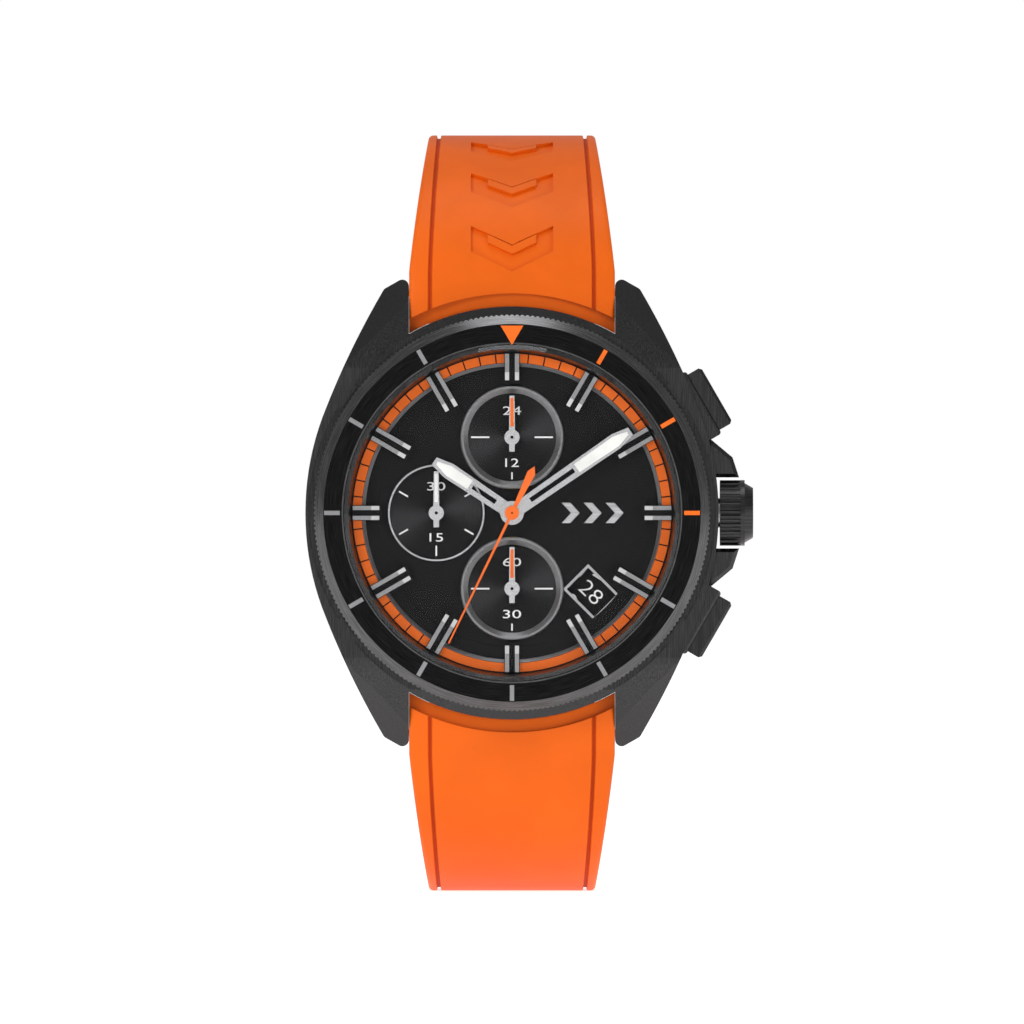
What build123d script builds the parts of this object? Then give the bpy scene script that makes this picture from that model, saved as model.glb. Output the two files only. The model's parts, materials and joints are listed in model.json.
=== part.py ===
from build123d import *
import os
from math import acos, atan2, cos, degrees, hypot, pi, radians, sin, sqrt

# A wrist chronograph with a turning bezel, closed in its rubber strap. Millimetres.
# Watch coordinates: +X to the crown, +Y to 12 o'clock, +Z out of the dial, and Z = 0 on
# the case back's outer face. UPRIGHT turns the watch so that 12 o'clock points up.
UPRIGHT = Rot(90, 0, 0)
WIDE = 200.0  # longer than the whole watch, for cutting tools

# ---- case ------------------------------------------------------------------------------
CASE_RADIUS = 22.1  # the round barrel between the lugs
CASE_BOTTOM = 0.7  # underside of the case, above the case back's outer face
RIM_TOP = 7.6  # top of the shoulder round the bezel
SEAT_TOP = 7.1  # floor under the bezel
LUG_TIP_Y = CASE_RADIUS + 3.4
LUG_GAP = 22.1  # between the lugs' inner faces
LUG_SHOULDER = (CASE_RADIUS - 2.2, CASE_RADIUS - 10.9)  # where the flank's big arc ends
LUG_FLANK = (CASE_RADIUS - 4.2, CASE_RADIUS - 6.2)
LUG_CORNER = (CASE_RADIUS - 8.4, CASE_RADIUS + 1.9)
LUG_BEND = (CASE_RADIUS - 6.6, CASE_RADIUS - 0.5, 6.1)  # start, and a point on the slope
LUG_TIP_LOW = 1.2
FLANK_RADIUS = 30.0
CORNER_ROUND = 0.7
SHELF_RADIUS = CASE_RADIUS + 1.75  # round edge between the lug's top and its outer facet
LUG_TIP_TOP = 3.3  # height of the lug's upper face at its tip
BORE_RADIUS = 17.4  # takes the dial and the movement ring
LEDGE_RADIUS = 17.15  # the dial is pushed up against this ledge
NECK_TOP = 10.3
NECK_RADIUS = 18.95
CRYSTAL_SHELF = 9.9
BOSS_ARC = 8.0  # degrees
BOSS_ANGLES = (35.6, 144.7, 215.3, 324.4)
FIT = 0.05  # running clearance, each side
SEAT = 0.02  # clearance between fixed pieces, each side

# ---- bezel and crystal -----------------------------------------------------------------
BEZEL_RADIUS = 21.2
TRENCH_RADIUS = BEZEL_RADIUS + 0.6  # outer wall of the groove round the bezel
BEZEL_BOTTOM = SEAT_TOP + 0.12
BEZEL_TOP = 10.75
BEZEL_EDGE_TOP = 9.75
BEZEL_FLAT_RADIUS = 20.2
COIN_TEETH = 240
COIN_DEPTH = 0.16
CLICK_TEETH = 60
CLICK_DEPTH = 0.22
INSERT_DEPTH = 0.3
CRYSTAL_RADIUS = 17.95
CRYSTAL_THICKNESS = 1.5
CRYSTAL_CHAMFER = 0.45
GASKET_WALL = 0.35
WIRE_Z = 8.6
WIRE_RADIUS = 0.24

# ---- case back -------------------------------------------------------------------------
BACK_RADIUS = 19.2
BACK_FLANGE = 1.4
BACK_FLOOR = 1.2
PLUG_TOP = 2.5
PLUG_WALL = 0.9
BACK_SCREWS = 4
BACK_SCREW_RING = 18.35
BACK_SCREW_RADIUS = 0.4
BACK_SCREW_HEAD = 0.7

# ---- dial ------------------------------------------------------------------------------
DIAL_BOTTOM = 6.6
DIAL_TOP = 7.0
DIAL_RADIUS = BORE_RADIUS - 0.1
SUBDIAL_DISTANCE = 8.1
SUBDIAL_FLOOR = DIAL_TOP - 0.12
SUBDIAL_RINGS = {"upper": (90, 5.55, 4.71), "left": (180, 5.2, 4.94), "lower": (270, 5.55, 4.71)}
CHAPTER_TOP = RIM_TOP - SEAT
CHAPTER_INNER = 15.4
MARKER_OUTER = 17.03
MARKER_LONG, MARKER_SHORT = 12.9, 14.2
MARKER_TOP = 7.9
BAR_WIDTH, BAR_GAP, BAR_HEIGHT = 0.44, 0.62, 0.18
DATE_ANGLE, DATE_RADIUS = -45.0, 12.0
DATE_LENGTH, DATE_WIDTH, DATE_FRAME = 4.2, 3.25, 0.27
DIAL_FEET, DIAL_FEET_RADIUS, DIAL_FOOT = (70.0, 250.0), 15.0, 0.25

# ---- hands -----------------------------------------------------------------------------
SUB_HAND_Z, HOUR_Z, MINUTE_Z, CHRONO_Z = 7.75, 8.45, 8.85, 9.25
HAND_THICKNESS = 0.15
HOUR_LENGTH, MINUTE_LENGTH, CHRONO_LENGTH = 10.0, 15.4, 15.5
CHRONO_TAIL = 5.55
HOUR_ANGLE, MINUTE_ANGLE, CHRONO_ANGLE = 90 - 303.7, 90 - 55.4, 90 - 205.9
HAND_HUB, CHRONO_HUB, SUB_HUB = 1.27, 0.75, 0.81
SUB_HAND_LENGTH, SUB_HAND_TAIL = 4.45, 1.54
SLOT_WIDTH = 0.5
CHRONO_ARBOR, CANNON_BORE, CANNON_TUBE = 0.2, 0.27, 0.5
HOUR_BORE, HOUR_TUBE = CANNON_TUBE + FIT, 0.82
SUB_ARBOR = 0.22

# ---- crown and pushers -----------------------------------------------------------------
STEM_Z = 4.6
CROWN_START, CROWN_LENGTH, CROWN_RADIUS = CASE_RADIUS + 0.15, 2.65, 3.52
CROWN_CAP_LENGTH, CROWN_CAP_RADIUS = 0.9, 3.2
CROWN_FLUTES = 24
CROWN_PULL = 1.2
TUBE_OUTER, TUBE_BORE = 1.6, 0.95
STEM_RADIUS = 0.6
STEM_INNER_END, STEM_NECK = 9.6, 11.25
GUARD_UPPER = (
    (CASE_RADIUS - 1.2, CROWN_RADIUS + 4.68), (CASE_RADIUS + 1.5, CROWN_RADIUS + 2.43),
    (CASE_RADIUS + 2.2, CROWN_RADIUS + 0.28), (CASE_RADIUS - 1.2, CROWN_RADIUS + 0.28),
)
GUARD_DROP, GUARD_RISE, GUARD_BEVEL = 2.5, 2.2, 0.4
PUSHER_ANGLES = {"upper": 30.0, "lower": -30.0}
PUSHER_TRAVEL = 0.8
COLLAR_OUT, COLLAR_HALF = CASE_RADIUS + 1.6, 3.85
CAP_OUT, CAP_HALF, CAP_HALF_HEIGHT = CASE_RADIUS + 3.2, 3.42, 1.9
CAP_IN = CASE_RADIUS + 0.9
PUSHER_STEM = 0.5
SPRING_SEAT = CASE_RADIUS - 1.4
SPRING_RADIUS, SPRING_WIRE, SPRING_COILS = 1.05, 0.16, 6

# ---- movement --------------------------------------------------------------------------
PLATE_RADIUS = 15.4
PLATE_BOTTOM, PLATE_TOP = 4.1, 5.0
BRIDGE_BOTTOM, BRIDGE_TOP = 2.2, 2.55
RING_INNER = 15.55
BATTERY_AT, BATTERY_RADIUS, BATTERY_HEIGHT = (7.8, -6.3), 4.75, 2.7
WHEEL = 0.15  # thickness of a wheel's rim plate
ARBOR = 0.18
LAYERS = (3.75, 3.4, 3.05, 2.72)  # undersides of the wheel layers below the main plate
DATE_DISC_Z, DATE_DISC_INNER, DATE_DISC_OUTER = 6.3, 9.7, 14.5
DATE_TEETH = 31
COVER_SCREW_RING, COVER_SCREW_ANGLES = 8.2, (0, 40, 215)
PILLAR_RING, PILLAR_ANGLES = 14.2, (80, 130, 190, 262, 8)
SCREW_SHANK, SCREW_HEAD = 0.28, 0.6
BOARD_EDGE = 6.4
CLAMP_TURN = 48.0
STATOR_REACH, STATOR_KNEE = 3.6, 1.9
STATOR_LOW, STATOR_HIGH = 3.6, 3.9
CANNON_MODULE, CANNON_TEETH, MINUTE_TEETH = 0.12, 12, 36
MINUTE_PINION, HOUR_TEETH = 10, 40
DAY_DRIVER, DAY_IDLER, DAY_TEETH = 30, 36, 60
PINION, IDLER_TEETH, TRAIN_TEETH = 10, 50, 60
MOTOR_MODULE, CHRONO_MODULE, COUNTER_MODULE = 0.1, 0.12, 0.135
SECONDS_HEADINGS, CHRONO_HEADINGS = (196, 165), (30, 62)  # wheel to idler, idler to rotor

# ---- strap -----------------------------------------------------------------------------
BAR_Y, BAR_Z = CASE_RADIUS + 1.5, 3.2
SPRING_BAR_RADIUS, SPRING_BAR_PIN = 0.75, 0.4
STRAP_END_RADIUS = CASE_RADIUS + 0.15
STRAP_HALF_WIDTH = LUG_GAP / 2 - 0.08
STRAP_START_Y, STRAP_STRAIGHT_Y = CASE_RADIUS - 3.3, BAR_Y + 2.4
STEP_RADIUS, STEP_Z = STRAP_END_RADIUS + 1.3, 5.0  # the strap's end is cut back above this
STRAP_HALF_BACK = 9.0
HORIZON_Y, HORIZON_Z = BAR_Y + 17.1, -17.0
STRAP_THICKNESS = 2.6
FRONT_OUTER_R, FRONT_INNER_R = 23.2, 18.37
BACK_R = 19.4  # centreline of the bend behind the horizon
SHORT_DROP, LONG_DROP = 5.6, 8.7  # straight stretches beside the wrist
GROOVE_WIDTH, GROOVE_DEPTH = 0.4, 0.35
GROOVE_AT_CASE, GROOVE_AT_HORIZON = 2.05, 0.95  # from the strap's edge
HOLE_PITCH, HOLE_HALF, HOLE_LONG = 6.8, 0.9, 2.5
BUCKLE_BAR_Y = 1.4
BUCKLE_TIP_Y = -8.4
BUCKLE_GAP = 0.6  # between the strap's outside and the buckle's bar
TONGUE_HOLE_Y = -0.9
BUCKLE_PIN = 0.6
TAIL_REACH = 22.0
KEEPER_FIXED, KEEPER_FREE = (5.2, 9.0), (11.6, 15.4)
KEEPER_WALL, KEEPER_PLAY = 1.0, 0.15
CHEVRON_ANGLES = (62, 42, 22)  # degrees above the horizon on the strap's outer arc
CHEVRON_DEPTH, CHEVRON_SHIFT = 0.4, 2.8
BEND_Y = HORIZON_Y - STRAP_THICKNESS / 2 - BACK_R
SHORT_Z = HORIZON_Z - SHORT_DROP - BACK_R
LONG_Z = HORIZON_Z - LONG_DROP - BACK_R


def polar(radius, angle):
    """The point at a distance and an angle from the watch's axis."""
    return radius * cos(radians(angle)), radius * sin(radians(angle))


def turned(shape, angle):
    return Rot(0, 0, angle) * shape


def tube(outer, inner, low, high, at=(0, 0)):
    """A ring or sleeve along Z between two heights."""
    wall = Cylinder(outer, high - low)
    if inner > 0:
        wall -= Cylinder(inner, high - low + 1)
    return Pos(at[0], at[1], (low + high) / 2) * wall


def disc(radius, low, high, at=(0, 0)):
    return tube(radius, 0, low, high, at)


def slab(x0, x1, y0, y1, z0, z1):
    """A box between its limits."""
    box = Box(x1 - x0, y1 - y0, z1 - z0)
    return Pos((x0 + x1) / 2, (y0 + y1) / 2, (z0 + z1) / 2) * box


def along_x(radius, x0, x1, z=STEM_Z, y=0.0):
    """A round bar along X."""
    return Pos((x0 + x1) / 2, y, z) * Rot(0, 90, 0) * Cylinder(radius, x1 - x0)


def prism(points, low, high):
    face = make_face(Polyline(*points, close=True))
    return Pos(0, 0, low) * extrude(face, high - low)


def revolved(points):
    """A ring from its section, given as (radius, height) corners."""
    section = make_face(Polyline(*[(r, 0, z) for r, z in points], close=True))
    return revolve(section, Axis.Z)


def sector(outer, inner, low, high, middle, width):
    """The part of a ring that spans some degrees about a middle angle."""
    far = outer * 1.5
    corners = [(0, 0)] + [polar(far, middle + width * k / 4) for k in range(-2, 3)]
    return tube(outer, inner, low, high) & prism(corners, low - 1, high + 1)


def group(shapes):
    return Compound(children=[solid for shape in shapes for solid in shape.solids()])


# ---- gears -----------------------------------------------------------------------------
def toothed(teeth, module, low, high, at, rotation, bore=0.0):
    """A toothed rim with pointed teeth and working clearance."""
    pitch_radius = module * teeth / 2
    root, tip = pitch_radius - 1.15 * module, pitch_radius + 0.85 * module
    pitch = 360 / teeth
    corners = []
    for tooth in range(teeth):
        for radius, share in ((root, -0.30), (tip, -0.11), (tip, 0.11), (root, 0.30)):
            corners.append(polar(radius, rotation + (tooth + share) * pitch))
    rim = prism(corners, low, high)
    if bore > 0:
        rim -= disc(bore, low - 1, high + 1)
    return Pos(at[0], at[1], 0) * rim


def mesh(rotation, teeth, towards, other_teeth):
    """The rotation of a gear that meshes with one whose rotation is known."""
    share = (towards - rotation) / (360 / teeth)
    return towards + 180 - (0.5 - share) * 360 / other_teeth


def apart(teeth, other_teeth, module):
    return module * (teeth + other_teeth) / 2


def third_corner(start, end, from_start, from_end):
    """The point at two distances from two others, on the left of the way between them."""
    base = hypot(end[0] - start[0], end[1] - start[1])
    heading = atan2(end[1] - start[1], end[0] - start[0])
    turn = acos((from_start**2 + base**2 - from_end**2) / (2 * from_start * base))
    return (
        start[0] + from_start * cos(heading + turn),
        start[1] + from_start * sin(heading + turn),
    )


def bearing(start, end):
    return degrees(atan2(end[1] - start[1], end[0] - start[0]))


def offset(start, distance, angle):
    step = polar(distance, angle)
    return start[0] + step[0], start[1] + step[1]


# ---- where the arbors and screws stand -------------------------------------------------
COVER_SCREWS = [polar(COVER_SCREW_RING, angle) for angle in COVER_SCREW_ANGLES]
PILLARS = [polar(PILLAR_RING, angle) for angle in PILLAR_ANGLES]
UPPER, LEFT, LOWER = (polar(SUBDIAL_DISTANCE, ring[0]) for ring in SUBDIAL_RINGS.values())
MINUTE_WHEEL_AT = (apart(CANNON_TEETH, MINUTE_TEETH, CANNON_MODULE), 0.0)
SECOND_MODULE = 2 * MINUTE_WHEEL_AT[0] / (MINUTE_PINION + HOUR_TEETH)
DAY_MODULE = 2 * SUBDIAL_DISTANCE / (DAY_DRIVER + 2 * DAY_IDLER + DAY_TEETH)
DAY_IDLER_AT = (0.0, apart(DAY_DRIVER, DAY_IDLER, DAY_MODULE))
COUNTER_IDLER_AT = third_corner(LEFT, (0, 0), apart(TRAIN_TEETH, PINION, COUNTER_MODULE),
                                apart(IDLER_TEETH, PINION, COUNTER_MODULE))
SECONDS_IDLER_AT = offset(LOWER, apart(TRAIN_TEETH, PINION, MOTOR_MODULE), SECONDS_HEADINGS[0])
SECONDS_ROTOR_AT = offset(SECONDS_IDLER_AT, apart(IDLER_TEETH, PINION, MOTOR_MODULE),
                          SECONDS_HEADINGS[1])
CHRONO_IDLER_AT = polar(apart(TRAIN_TEETH, PINION, CHRONO_MODULE), CHRONO_HEADINGS[0])
CHRONO_ROTOR_AT = offset(CHRONO_IDLER_AT, apart(IDLER_TEETH, PINION, MOTOR_MODULE),
                         CHRONO_HEADINGS[1])
TRAIN_CENTRES = [COUNTER_IDLER_AT, SECONDS_IDLER_AT, SECONDS_ROTOR_AT,
                 CHRONO_IDLER_AT, CHRONO_ROTOR_AT]
SECONDS_COIL = (13.1, bearing((0, 0), SECONDS_ROTOR_AT))
CHRONO_COIL = (9.8, bearing((0, 0), CHRONO_ROTOR_AT))


# ---- case ------------------------------------------------------------------------------
def case_outline():
    """The case from above: a round barrel and four lugs with arched flanks."""
    middle_y = LUG_SHOULDER[1] / 2
    arc_centre = CASE_RADIUS - FLANK_RADIUS
    middle = (arc_centre + sqrt(FLANK_RADIUS**2 - middle_y**2), middle_y)
    inner = LUG_GAP / 2
    edges = [
        Line((inner, 0), (CASE_RADIUS, 0)),
        ThreePointArc((CASE_RADIUS, 0), middle, LUG_SHOULDER),
        ThreePointArc(LUG_SHOULDER, LUG_FLANK, LUG_CORNER),
        Line(LUG_CORNER, (inner, LUG_TIP_Y)),
        Line((inner, LUG_TIP_Y), (inner, 0)),
    ]
    quarter = make_face(edges)
    corner = quarter.vertices().sort_by(Axis.Y)[-2:]
    quarter = fillet(corner, CORNER_ROUND)
    half = quarter + mirror(quarter, Plane.XZ)
    return Circle(CASE_RADIUS) + half + mirror(half, Plane.YZ)


def case_side_profile():
    """The watch from the crown side: flat in the middle, lugs bending down."""
    start, slope_y, slope_z = LUG_BEND
    tip, foot = LUG_TIP_Y + 0.1, BACK_RADIUS + 0.6
    edges = [
        Line((-start, RIM_TOP), (start, RIM_TOP)),
        ThreePointArc((start, RIM_TOP), (slope_y, slope_z), (tip, LUG_TIP_TOP)),
        Line((tip, LUG_TIP_TOP), (tip, LUG_TIP_LOW)),
        Line((tip, LUG_TIP_LOW), (foot, CASE_BOTTOM)),
        Line((foot, CASE_BOTTOM), (-foot, CASE_BOTTOM)),
        Line((-foot, CASE_BOTTOM), (-tip, LUG_TIP_LOW)),
        Line((-tip, LUG_TIP_LOW), (-tip, LUG_TIP_TOP)),
        ThreePointArc((-tip, LUG_TIP_TOP), (-slope_y, slope_z), (-start, RIM_TOP)),
    ]
    return Plane.YZ * make_face(edges)


def crown_guards():
    upper = prism(GUARD_UPPER, STEM_Z - GUARD_DROP, STEM_Z + GUARD_RISE)
    upper = chamfer(upper.faces().sort_by(Axis.Z)[-1].edges(), GUARD_BEVEL)
    return upper + mirror(upper, Plane.XZ)


def pusher_collar(angle):
    block = slab(CASE_RADIUS - 3.1, COLLAR_OUT, -COLLAR_HALF, COLLAR_HALF,
                 STEM_Z - 2.3, STEM_Z + GUARD_RISE)
    return turned(fillet(block.faces().sort_by(Axis.X)[-1].edges(), 0.35), angle)


def pusher_passage(angle):
    """The pocket for a pusher's cap, its spring's bore and the hole for its stem."""
    half, tall = CAP_HALF + FIT, CAP_HALF_HEIGHT + FIT
    pocket = slab(CASE_RADIUS - 0.1, CAP_OUT + 5, -half, half, STEM_Z - tall, STEM_Z + tall)
    spring_bore = along_x(SPRING_RADIUS + SPRING_WIRE + 0.12, SPRING_SEAT - 0.1, CASE_RADIUS)
    stem_bore = along_x(PUSHER_STEM + FIT, BORE_RADIUS - 3, CASE_RADIUS)
    return turned(pocket + spring_bore + stem_bore, angle)


def case_middle():
    body = Pos(0, 0, CASE_BOTTOM) * extrude(case_outline(), RIM_TOP - CASE_BOTTOM)
    body &= extrude(case_side_profile(), WIDE / 4, both=True)
    facet = [(0, -1), (SHELF_RADIUS + 6, -1), (SHELF_RADIUS + 5.2, 1.0), (SHELF_RADIUS, 7.2)]
    body &= revolved(facet + [(SHELF_RADIUS, RIM_TOP + 1), (0, RIM_TOP + 1)])
    body += crown_guards()
    for angle in PUSHER_ANGLES.values():
        body += pusher_collar(angle)
    body -= tube(TRENCH_RADIUS, NECK_RADIUS - 1, SEAT_TOP, RIM_TOP + 1)
    for angle in BOSS_ANGLES:
        inner = BEZEL_RADIUS + 2 * FIT
        body += sector(TRENCH_RADIUS + 0.2, inner, SEAT_TOP - 0.1, RIM_TOP, angle, BOSS_ARC)
    body += disc(NECK_RADIUS, SEAT_TOP - 0.1, NECK_TOP)
    body -= disc(BORE_RADIUS, -1, RIM_TOP)
    body -= revolved([
        (0, RIM_TOP - 0.1), (LEDGE_RADIUS, RIM_TOP - 0.1), (LEDGE_RADIUS, RIM_TOP),
        (17.5, CRYSTAL_SHELF), (CRYSTAL_RADIUS + GASKET_WALL + SEAT, CRYSTAL_SHELF),
        (CRYSTAL_RADIUS + GASKET_WALL + SEAT, NECK_TOP + 1), (0, NECK_TOP + 1),
    ])
    body -= disc(BACK_RADIUS + FIT, -1, BACK_FLANGE)
    body -= revolved([
        (NECK_RADIUS + 1, WIRE_Z - 0.3), (NECK_RADIUS + 1, WIRE_Z + 0.3),
        (NECK_RADIUS - 0.27, WIRE_Z + 0.3), (NECK_RADIUS - 0.27, WIRE_Z - 0.3),
    ])
    body -= sector(20.5, 19.5, SEAT_TOP - 0.5, SEAT_TOP + 1, 90, 64)
    body -= along_x(TUBE_OUTER + SEAT, BORE_RADIUS - 2, CROWN_START)
    for angle in PUSHER_ANGLES.values():
        body -= pusher_passage(angle)
    for place in back_screw_places():
        body -= disc(BACK_SCREW_RADIUS, 0, 4.2, place)
    for side in (1, -1):
        depth = LUG_GAP / 2 + 1.1
        body -= along_x(SPRING_BAR_PIN + FIT, -depth, depth, BAR_Z, side * BAR_Y)
    return body


def back_screw_places():
    return [polar(BACK_SCREW_RING, 45 + k * 360 / BACK_SCREWS) for k in range(BACK_SCREWS)]


def case_back():
    """The back: a flange, and a plug with a groove for the gasket."""
    plug = BORE_RADIUS - 0.06
    groove = plug - 0.42
    body = revolved([
        (0, 0), (BACK_RADIUS - 0.4, 0), (BACK_RADIUS, 0.4), (BACK_RADIUS, BACK_FLANGE),
        (plug, BACK_FLANGE), (plug, 1.65), (groove, 1.65), (groove, 2.2), (plug, 2.2),
        (plug, PLUG_TOP), (plug - PLUG_WALL, PLUG_TOP), (plug - PLUG_WALL, BACK_FLOOR),
        (0, BACK_FLOOR),
    ])
    for place in back_screw_places():
        body -= disc(BACK_SCREW_RADIUS + FIT, -1, 3, place)
        body -= disc(BACK_SCREW_HEAD + FIT, -1, 0.6, place)
    body -= tube(15.6, 15.3, -1, 0.12) + tube(9.6, 9.3, -1, 0.12)
    return body


def back_screws():
    screws = []
    for place in back_screw_places():
        head = disc(BACK_SCREW_HEAD, 0.1, 0.6, place)
        shank = disc(BACK_SCREW_RADIUS - SEAT, 0.6, 3.9, place)
        slot = Pos(place[0], place[1], 0.1) * Box(2, 0.2, 0.36)
        screws.append(head + shank - slot)
    return group(screws)


def back_gasket():
    plug = BORE_RADIUS - 0.06
    return tube(BORE_RADIUS - SEAT, plug - 0.42 + SEAT, 1.7, 2.15)


def crystal():
    top = CRYSTAL_SHELF + CRYSTAL_THICKNESS
    return revolved([
        (0, CRYSTAL_SHELF), (CRYSTAL_RADIUS, CRYSTAL_SHELF),
        (CRYSTAL_RADIUS, top - CRYSTAL_CHAMFER), (CRYSTAL_RADIUS - CRYSTAL_CHAMFER, top),
        (0, top),
    ])


def crystal_gasket():
    inner = CRYSTAL_RADIUS + SEAT
    return tube(inner + GASKET_WALL - SEAT, inner, CRYSTAL_SHELF, NECK_TOP)


# ---- bezel -----------------------------------------------------------------------------
def coin_edge():
    """The bezel's outline from above, with its fine grip teeth."""
    pitch = 360 / COIN_TEETH
    corners = []
    for tooth in range(COIN_TEETH):
        corners.append(polar(BEZEL_RADIUS - COIN_DEPTH, (tooth - 0.5) * pitch))
        corners.append(polar(BEZEL_RADIUS, (tooth - 0.15) * pitch))
        corners.append(polar(BEZEL_RADIUS, (tooth + 0.15) * pitch))
    return prism(corners, BEZEL_BOTTOM, BEZEL_TOP)


def bezel():
    bore = NECK_RADIUS + FIT
    lip = CRYSTAL_RADIUS + 2 * FIT
    edge = BEZEL_RADIUS - COIN_DEPTH - 0.1
    section = [
        (bore, BEZEL_BOTTOM), (edge, BEZEL_BOTTOM), (BEZEL_RADIUS + 0.1, BEZEL_BOTTOM + 0.3),
        (BEZEL_RADIUS + 0.1, BEZEL_EDGE_TOP), (BEZEL_FLAT_RADIUS, BEZEL_TOP),
        (lip, BEZEL_TOP), (lip, NECK_TOP + FIT), (bore, NECK_TOP + FIT),
        (bore, WIRE_Z + 0.32), (bore + 0.3, WIRE_Z + 0.32), (bore + 0.3, WIRE_Z - 0.32),
        (bore, WIRE_Z - 0.32),
    ]
    ring = revolved(section) & coin_edge()
    ring -= tube(BEZEL_FLAT_RADIUS - 0.02, lip + 0.15, BEZEL_TOP - INSERT_DEPTH, BEZEL_TOP + 1)
    notch = slab(19.4, 20.6, -0.3, 0.3, BEZEL_BOTTOM - 1, BEZEL_BOTTOM + CLICK_DEPTH)
    notches = [turned(notch, k * 360 / CLICK_TEETH) for k in range(CLICK_TEETH)]
    return ring - notches


def bezel_insert():
    """The flat printed ring glued into the bezel's recess."""
    lip = CRYSTAL_RADIUS + 2 * FIT + 0.15
    return tube(BEZEL_FLAT_RADIUS - 0.04, lip + SEAT, BEZEL_TOP - INSERT_DEPTH, BEZEL_TOP)


def retaining_wire():
    """A split round wire between the neck's groove and the bezel's."""
    ring = Pos(0, 0, WIRE_Z) * Torus(NECK_RADIUS + 0.02, WIRE_RADIUS)
    return ring - prism([(0, 0), polar(30, -93), polar(30, -87)], WIRE_Z - 1, WIRE_Z + 1)


def click_spring():
    low = SEAT_TOP - 0.45
    leaf = sector(20.35, 19.65, low, low + 0.15, 90, 60)
    tip = sector(20.2, 19.8, low + 0.1, SEAT_TOP + 0.08, 90, 1.6)
    return leaf + tip


# ---- dial ------------------------------------------------------------------------------
def dial_holes():
    holes = [disc(HOUR_TUBE + 0.1, 0, 20)]
    for angle, _, _ in SUBDIAL_RINGS.values():
        holes.append(disc(SUB_ARBOR + 0.1, 0, 20, polar(SUBDIAL_DISTANCE, angle)))
    return holes


def date_opening(grow, low, high):
    half_long, half_wide = DATE_LENGTH / 2 + grow, DATE_WIDTH / 2 + grow
    box = slab(DATE_RADIUS - half_long, DATE_RADIUS + half_long, -half_wide, half_wide, low, high)
    return turned(box, DATE_ANGLE)


def dial():
    plate = disc(DIAL_RADIUS, DIAL_BOTTOM, DIAL_TOP) - dial_holes()
    for angle, _, inner in SUBDIAL_RINGS.values():
        plate -= disc(inner, SUBDIAL_FLOOR, 20, polar(SUBDIAL_DISTANCE, angle))
    plate -= date_opening(0, 0, 20)
    for angle in DIAL_FEET:
        plate += disc(DIAL_FOOT, DIAL_BOTTOM - 1.2, DIAL_BOTTOM, polar(DIAL_FEET_RADIUS, angle))
    return plate


def subdial_ring(name):
    """A bevelled ring set on the dial round a sub-dial."""
    angle, outer, inner = SUBDIAL_RINGS[name]
    rise = 0.4 if outer - inner > 0.5 else 0.2
    bevel = min(0.35, (outer - inner) / 2)
    section = [
        (inner, DIAL_TOP), (outer, DIAL_TOP), (outer, DIAL_TOP + rise - 0.1),
        (outer - bevel / 3, DIAL_TOP + rise), (outer - bevel, DIAL_TOP + rise),
    ]
    centre = polar(SUBDIAL_DISTANCE, angle)
    return Pos(centre[0], centre[1], 0) * revolved(section)


def chapter_ring_blank():
    return revolved([
        (CHAPTER_INNER, DIAL_TOP), (DIAL_RADIUS, DIAL_TOP), (DIAL_RADIUS, CHAPTER_TOP),
        (16.0, CHAPTER_TOP), (15.7, CHAPTER_TOP - 0.3), (15.7, DIAL_TOP + 0.15),
        (CHAPTER_INNER, DIAL_TOP + 0.15),
    ])


def marker_inner(hour):
    return MARKER_SHORT if hour % 3 == 0 else MARKER_LONG


def marker_block(hour):
    """A raised block that reaches in from the chapter ring and carries two bars."""
    half = BAR_WIDTH + BAR_GAP / 2 + 0.06
    box = slab(marker_inner(hour) - 0.3, MARKER_OUTER, -half, half, DIAL_TOP, MARKER_TOP)
    return turned(box, 90 - 30 * hour)


def chapter_ring():
    """The ring round the dial with its twelve blocks, one moulding."""
    return chapter_ring_blank() + [marker_block(hour) for hour in range(12)]


def hour_bar(hour, inner, outer):
    low, high = MARKER_TOP, MARKER_TOP + BAR_HEIGHT
    near = BAR_GAP / 2
    bars = [slab(inner, outer, side * (near + BAR_WIDTH / 2) - BAR_WIDTH / 2,
                 side * (near + BAR_WIDTH / 2) + BAR_WIDTH / 2, low, high) for side in (1, -1)]
    return [turned(bar, 90 - 30 * hour) for bar in bars]


def hour_bars():
    bars = [hour_bar(h, marker_inner(h), MARKER_OUTER) for h in range(12)]
    return group([bar for pair in bars for bar in pair])


def date_frame():
    low, high = DIAL_TOP, DIAL_TOP + 0.22
    frame = date_opening(DATE_FRAME, low, high) - date_opening(0, low - 1, high + 1)
    return frame - tube(20, 13.9 + 0.3, low - 1, high + 1)


# ---- hands -----------------------------------------------------------------------------
def hand_outline(length, root, shoulder, tip, low, high):
    """A broad hand along +X with a shortened point."""
    far = length - 1.9
    corners = [(0, root / 2), (far, shoulder / 2), (length, tip / 2), (length, -tip / 2),
               (far, -shoulder / 2), (0, -root / 2)]
    return prism(corners, low, high)


def lume_pocket(start, length, low, high, grow):
    far = length - 1.9
    corners = [(start - grow, 0.55 + grow), (far, 0.62 + grow), (length - 0.35 + grow, 0.2 + grow),
               (length - 0.35 + grow, -0.2 - grow), (far, -0.62 - grow), (start - grow, -0.55 - grow)]
    return prism(corners, low, high)


def main_hand(length, level, bore, slot, lume_start):
    low, high = level, level + HAND_THICKNESS
    hand = hand_outline(length, 1.45, 1.75, 0.95, low, high) + disc(HAND_HUB, low, high)
    hand -= slab(slot, lume_start - 0.35, -SLOT_WIDTH / 2, SLOT_WIDTH / 2, low - 1, high + 1)
    hand -= lume_pocket(lume_start, length, low + 0.05, high + 1, 0.01)
    return hand - disc(bore, low - 1, high + 1)


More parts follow.
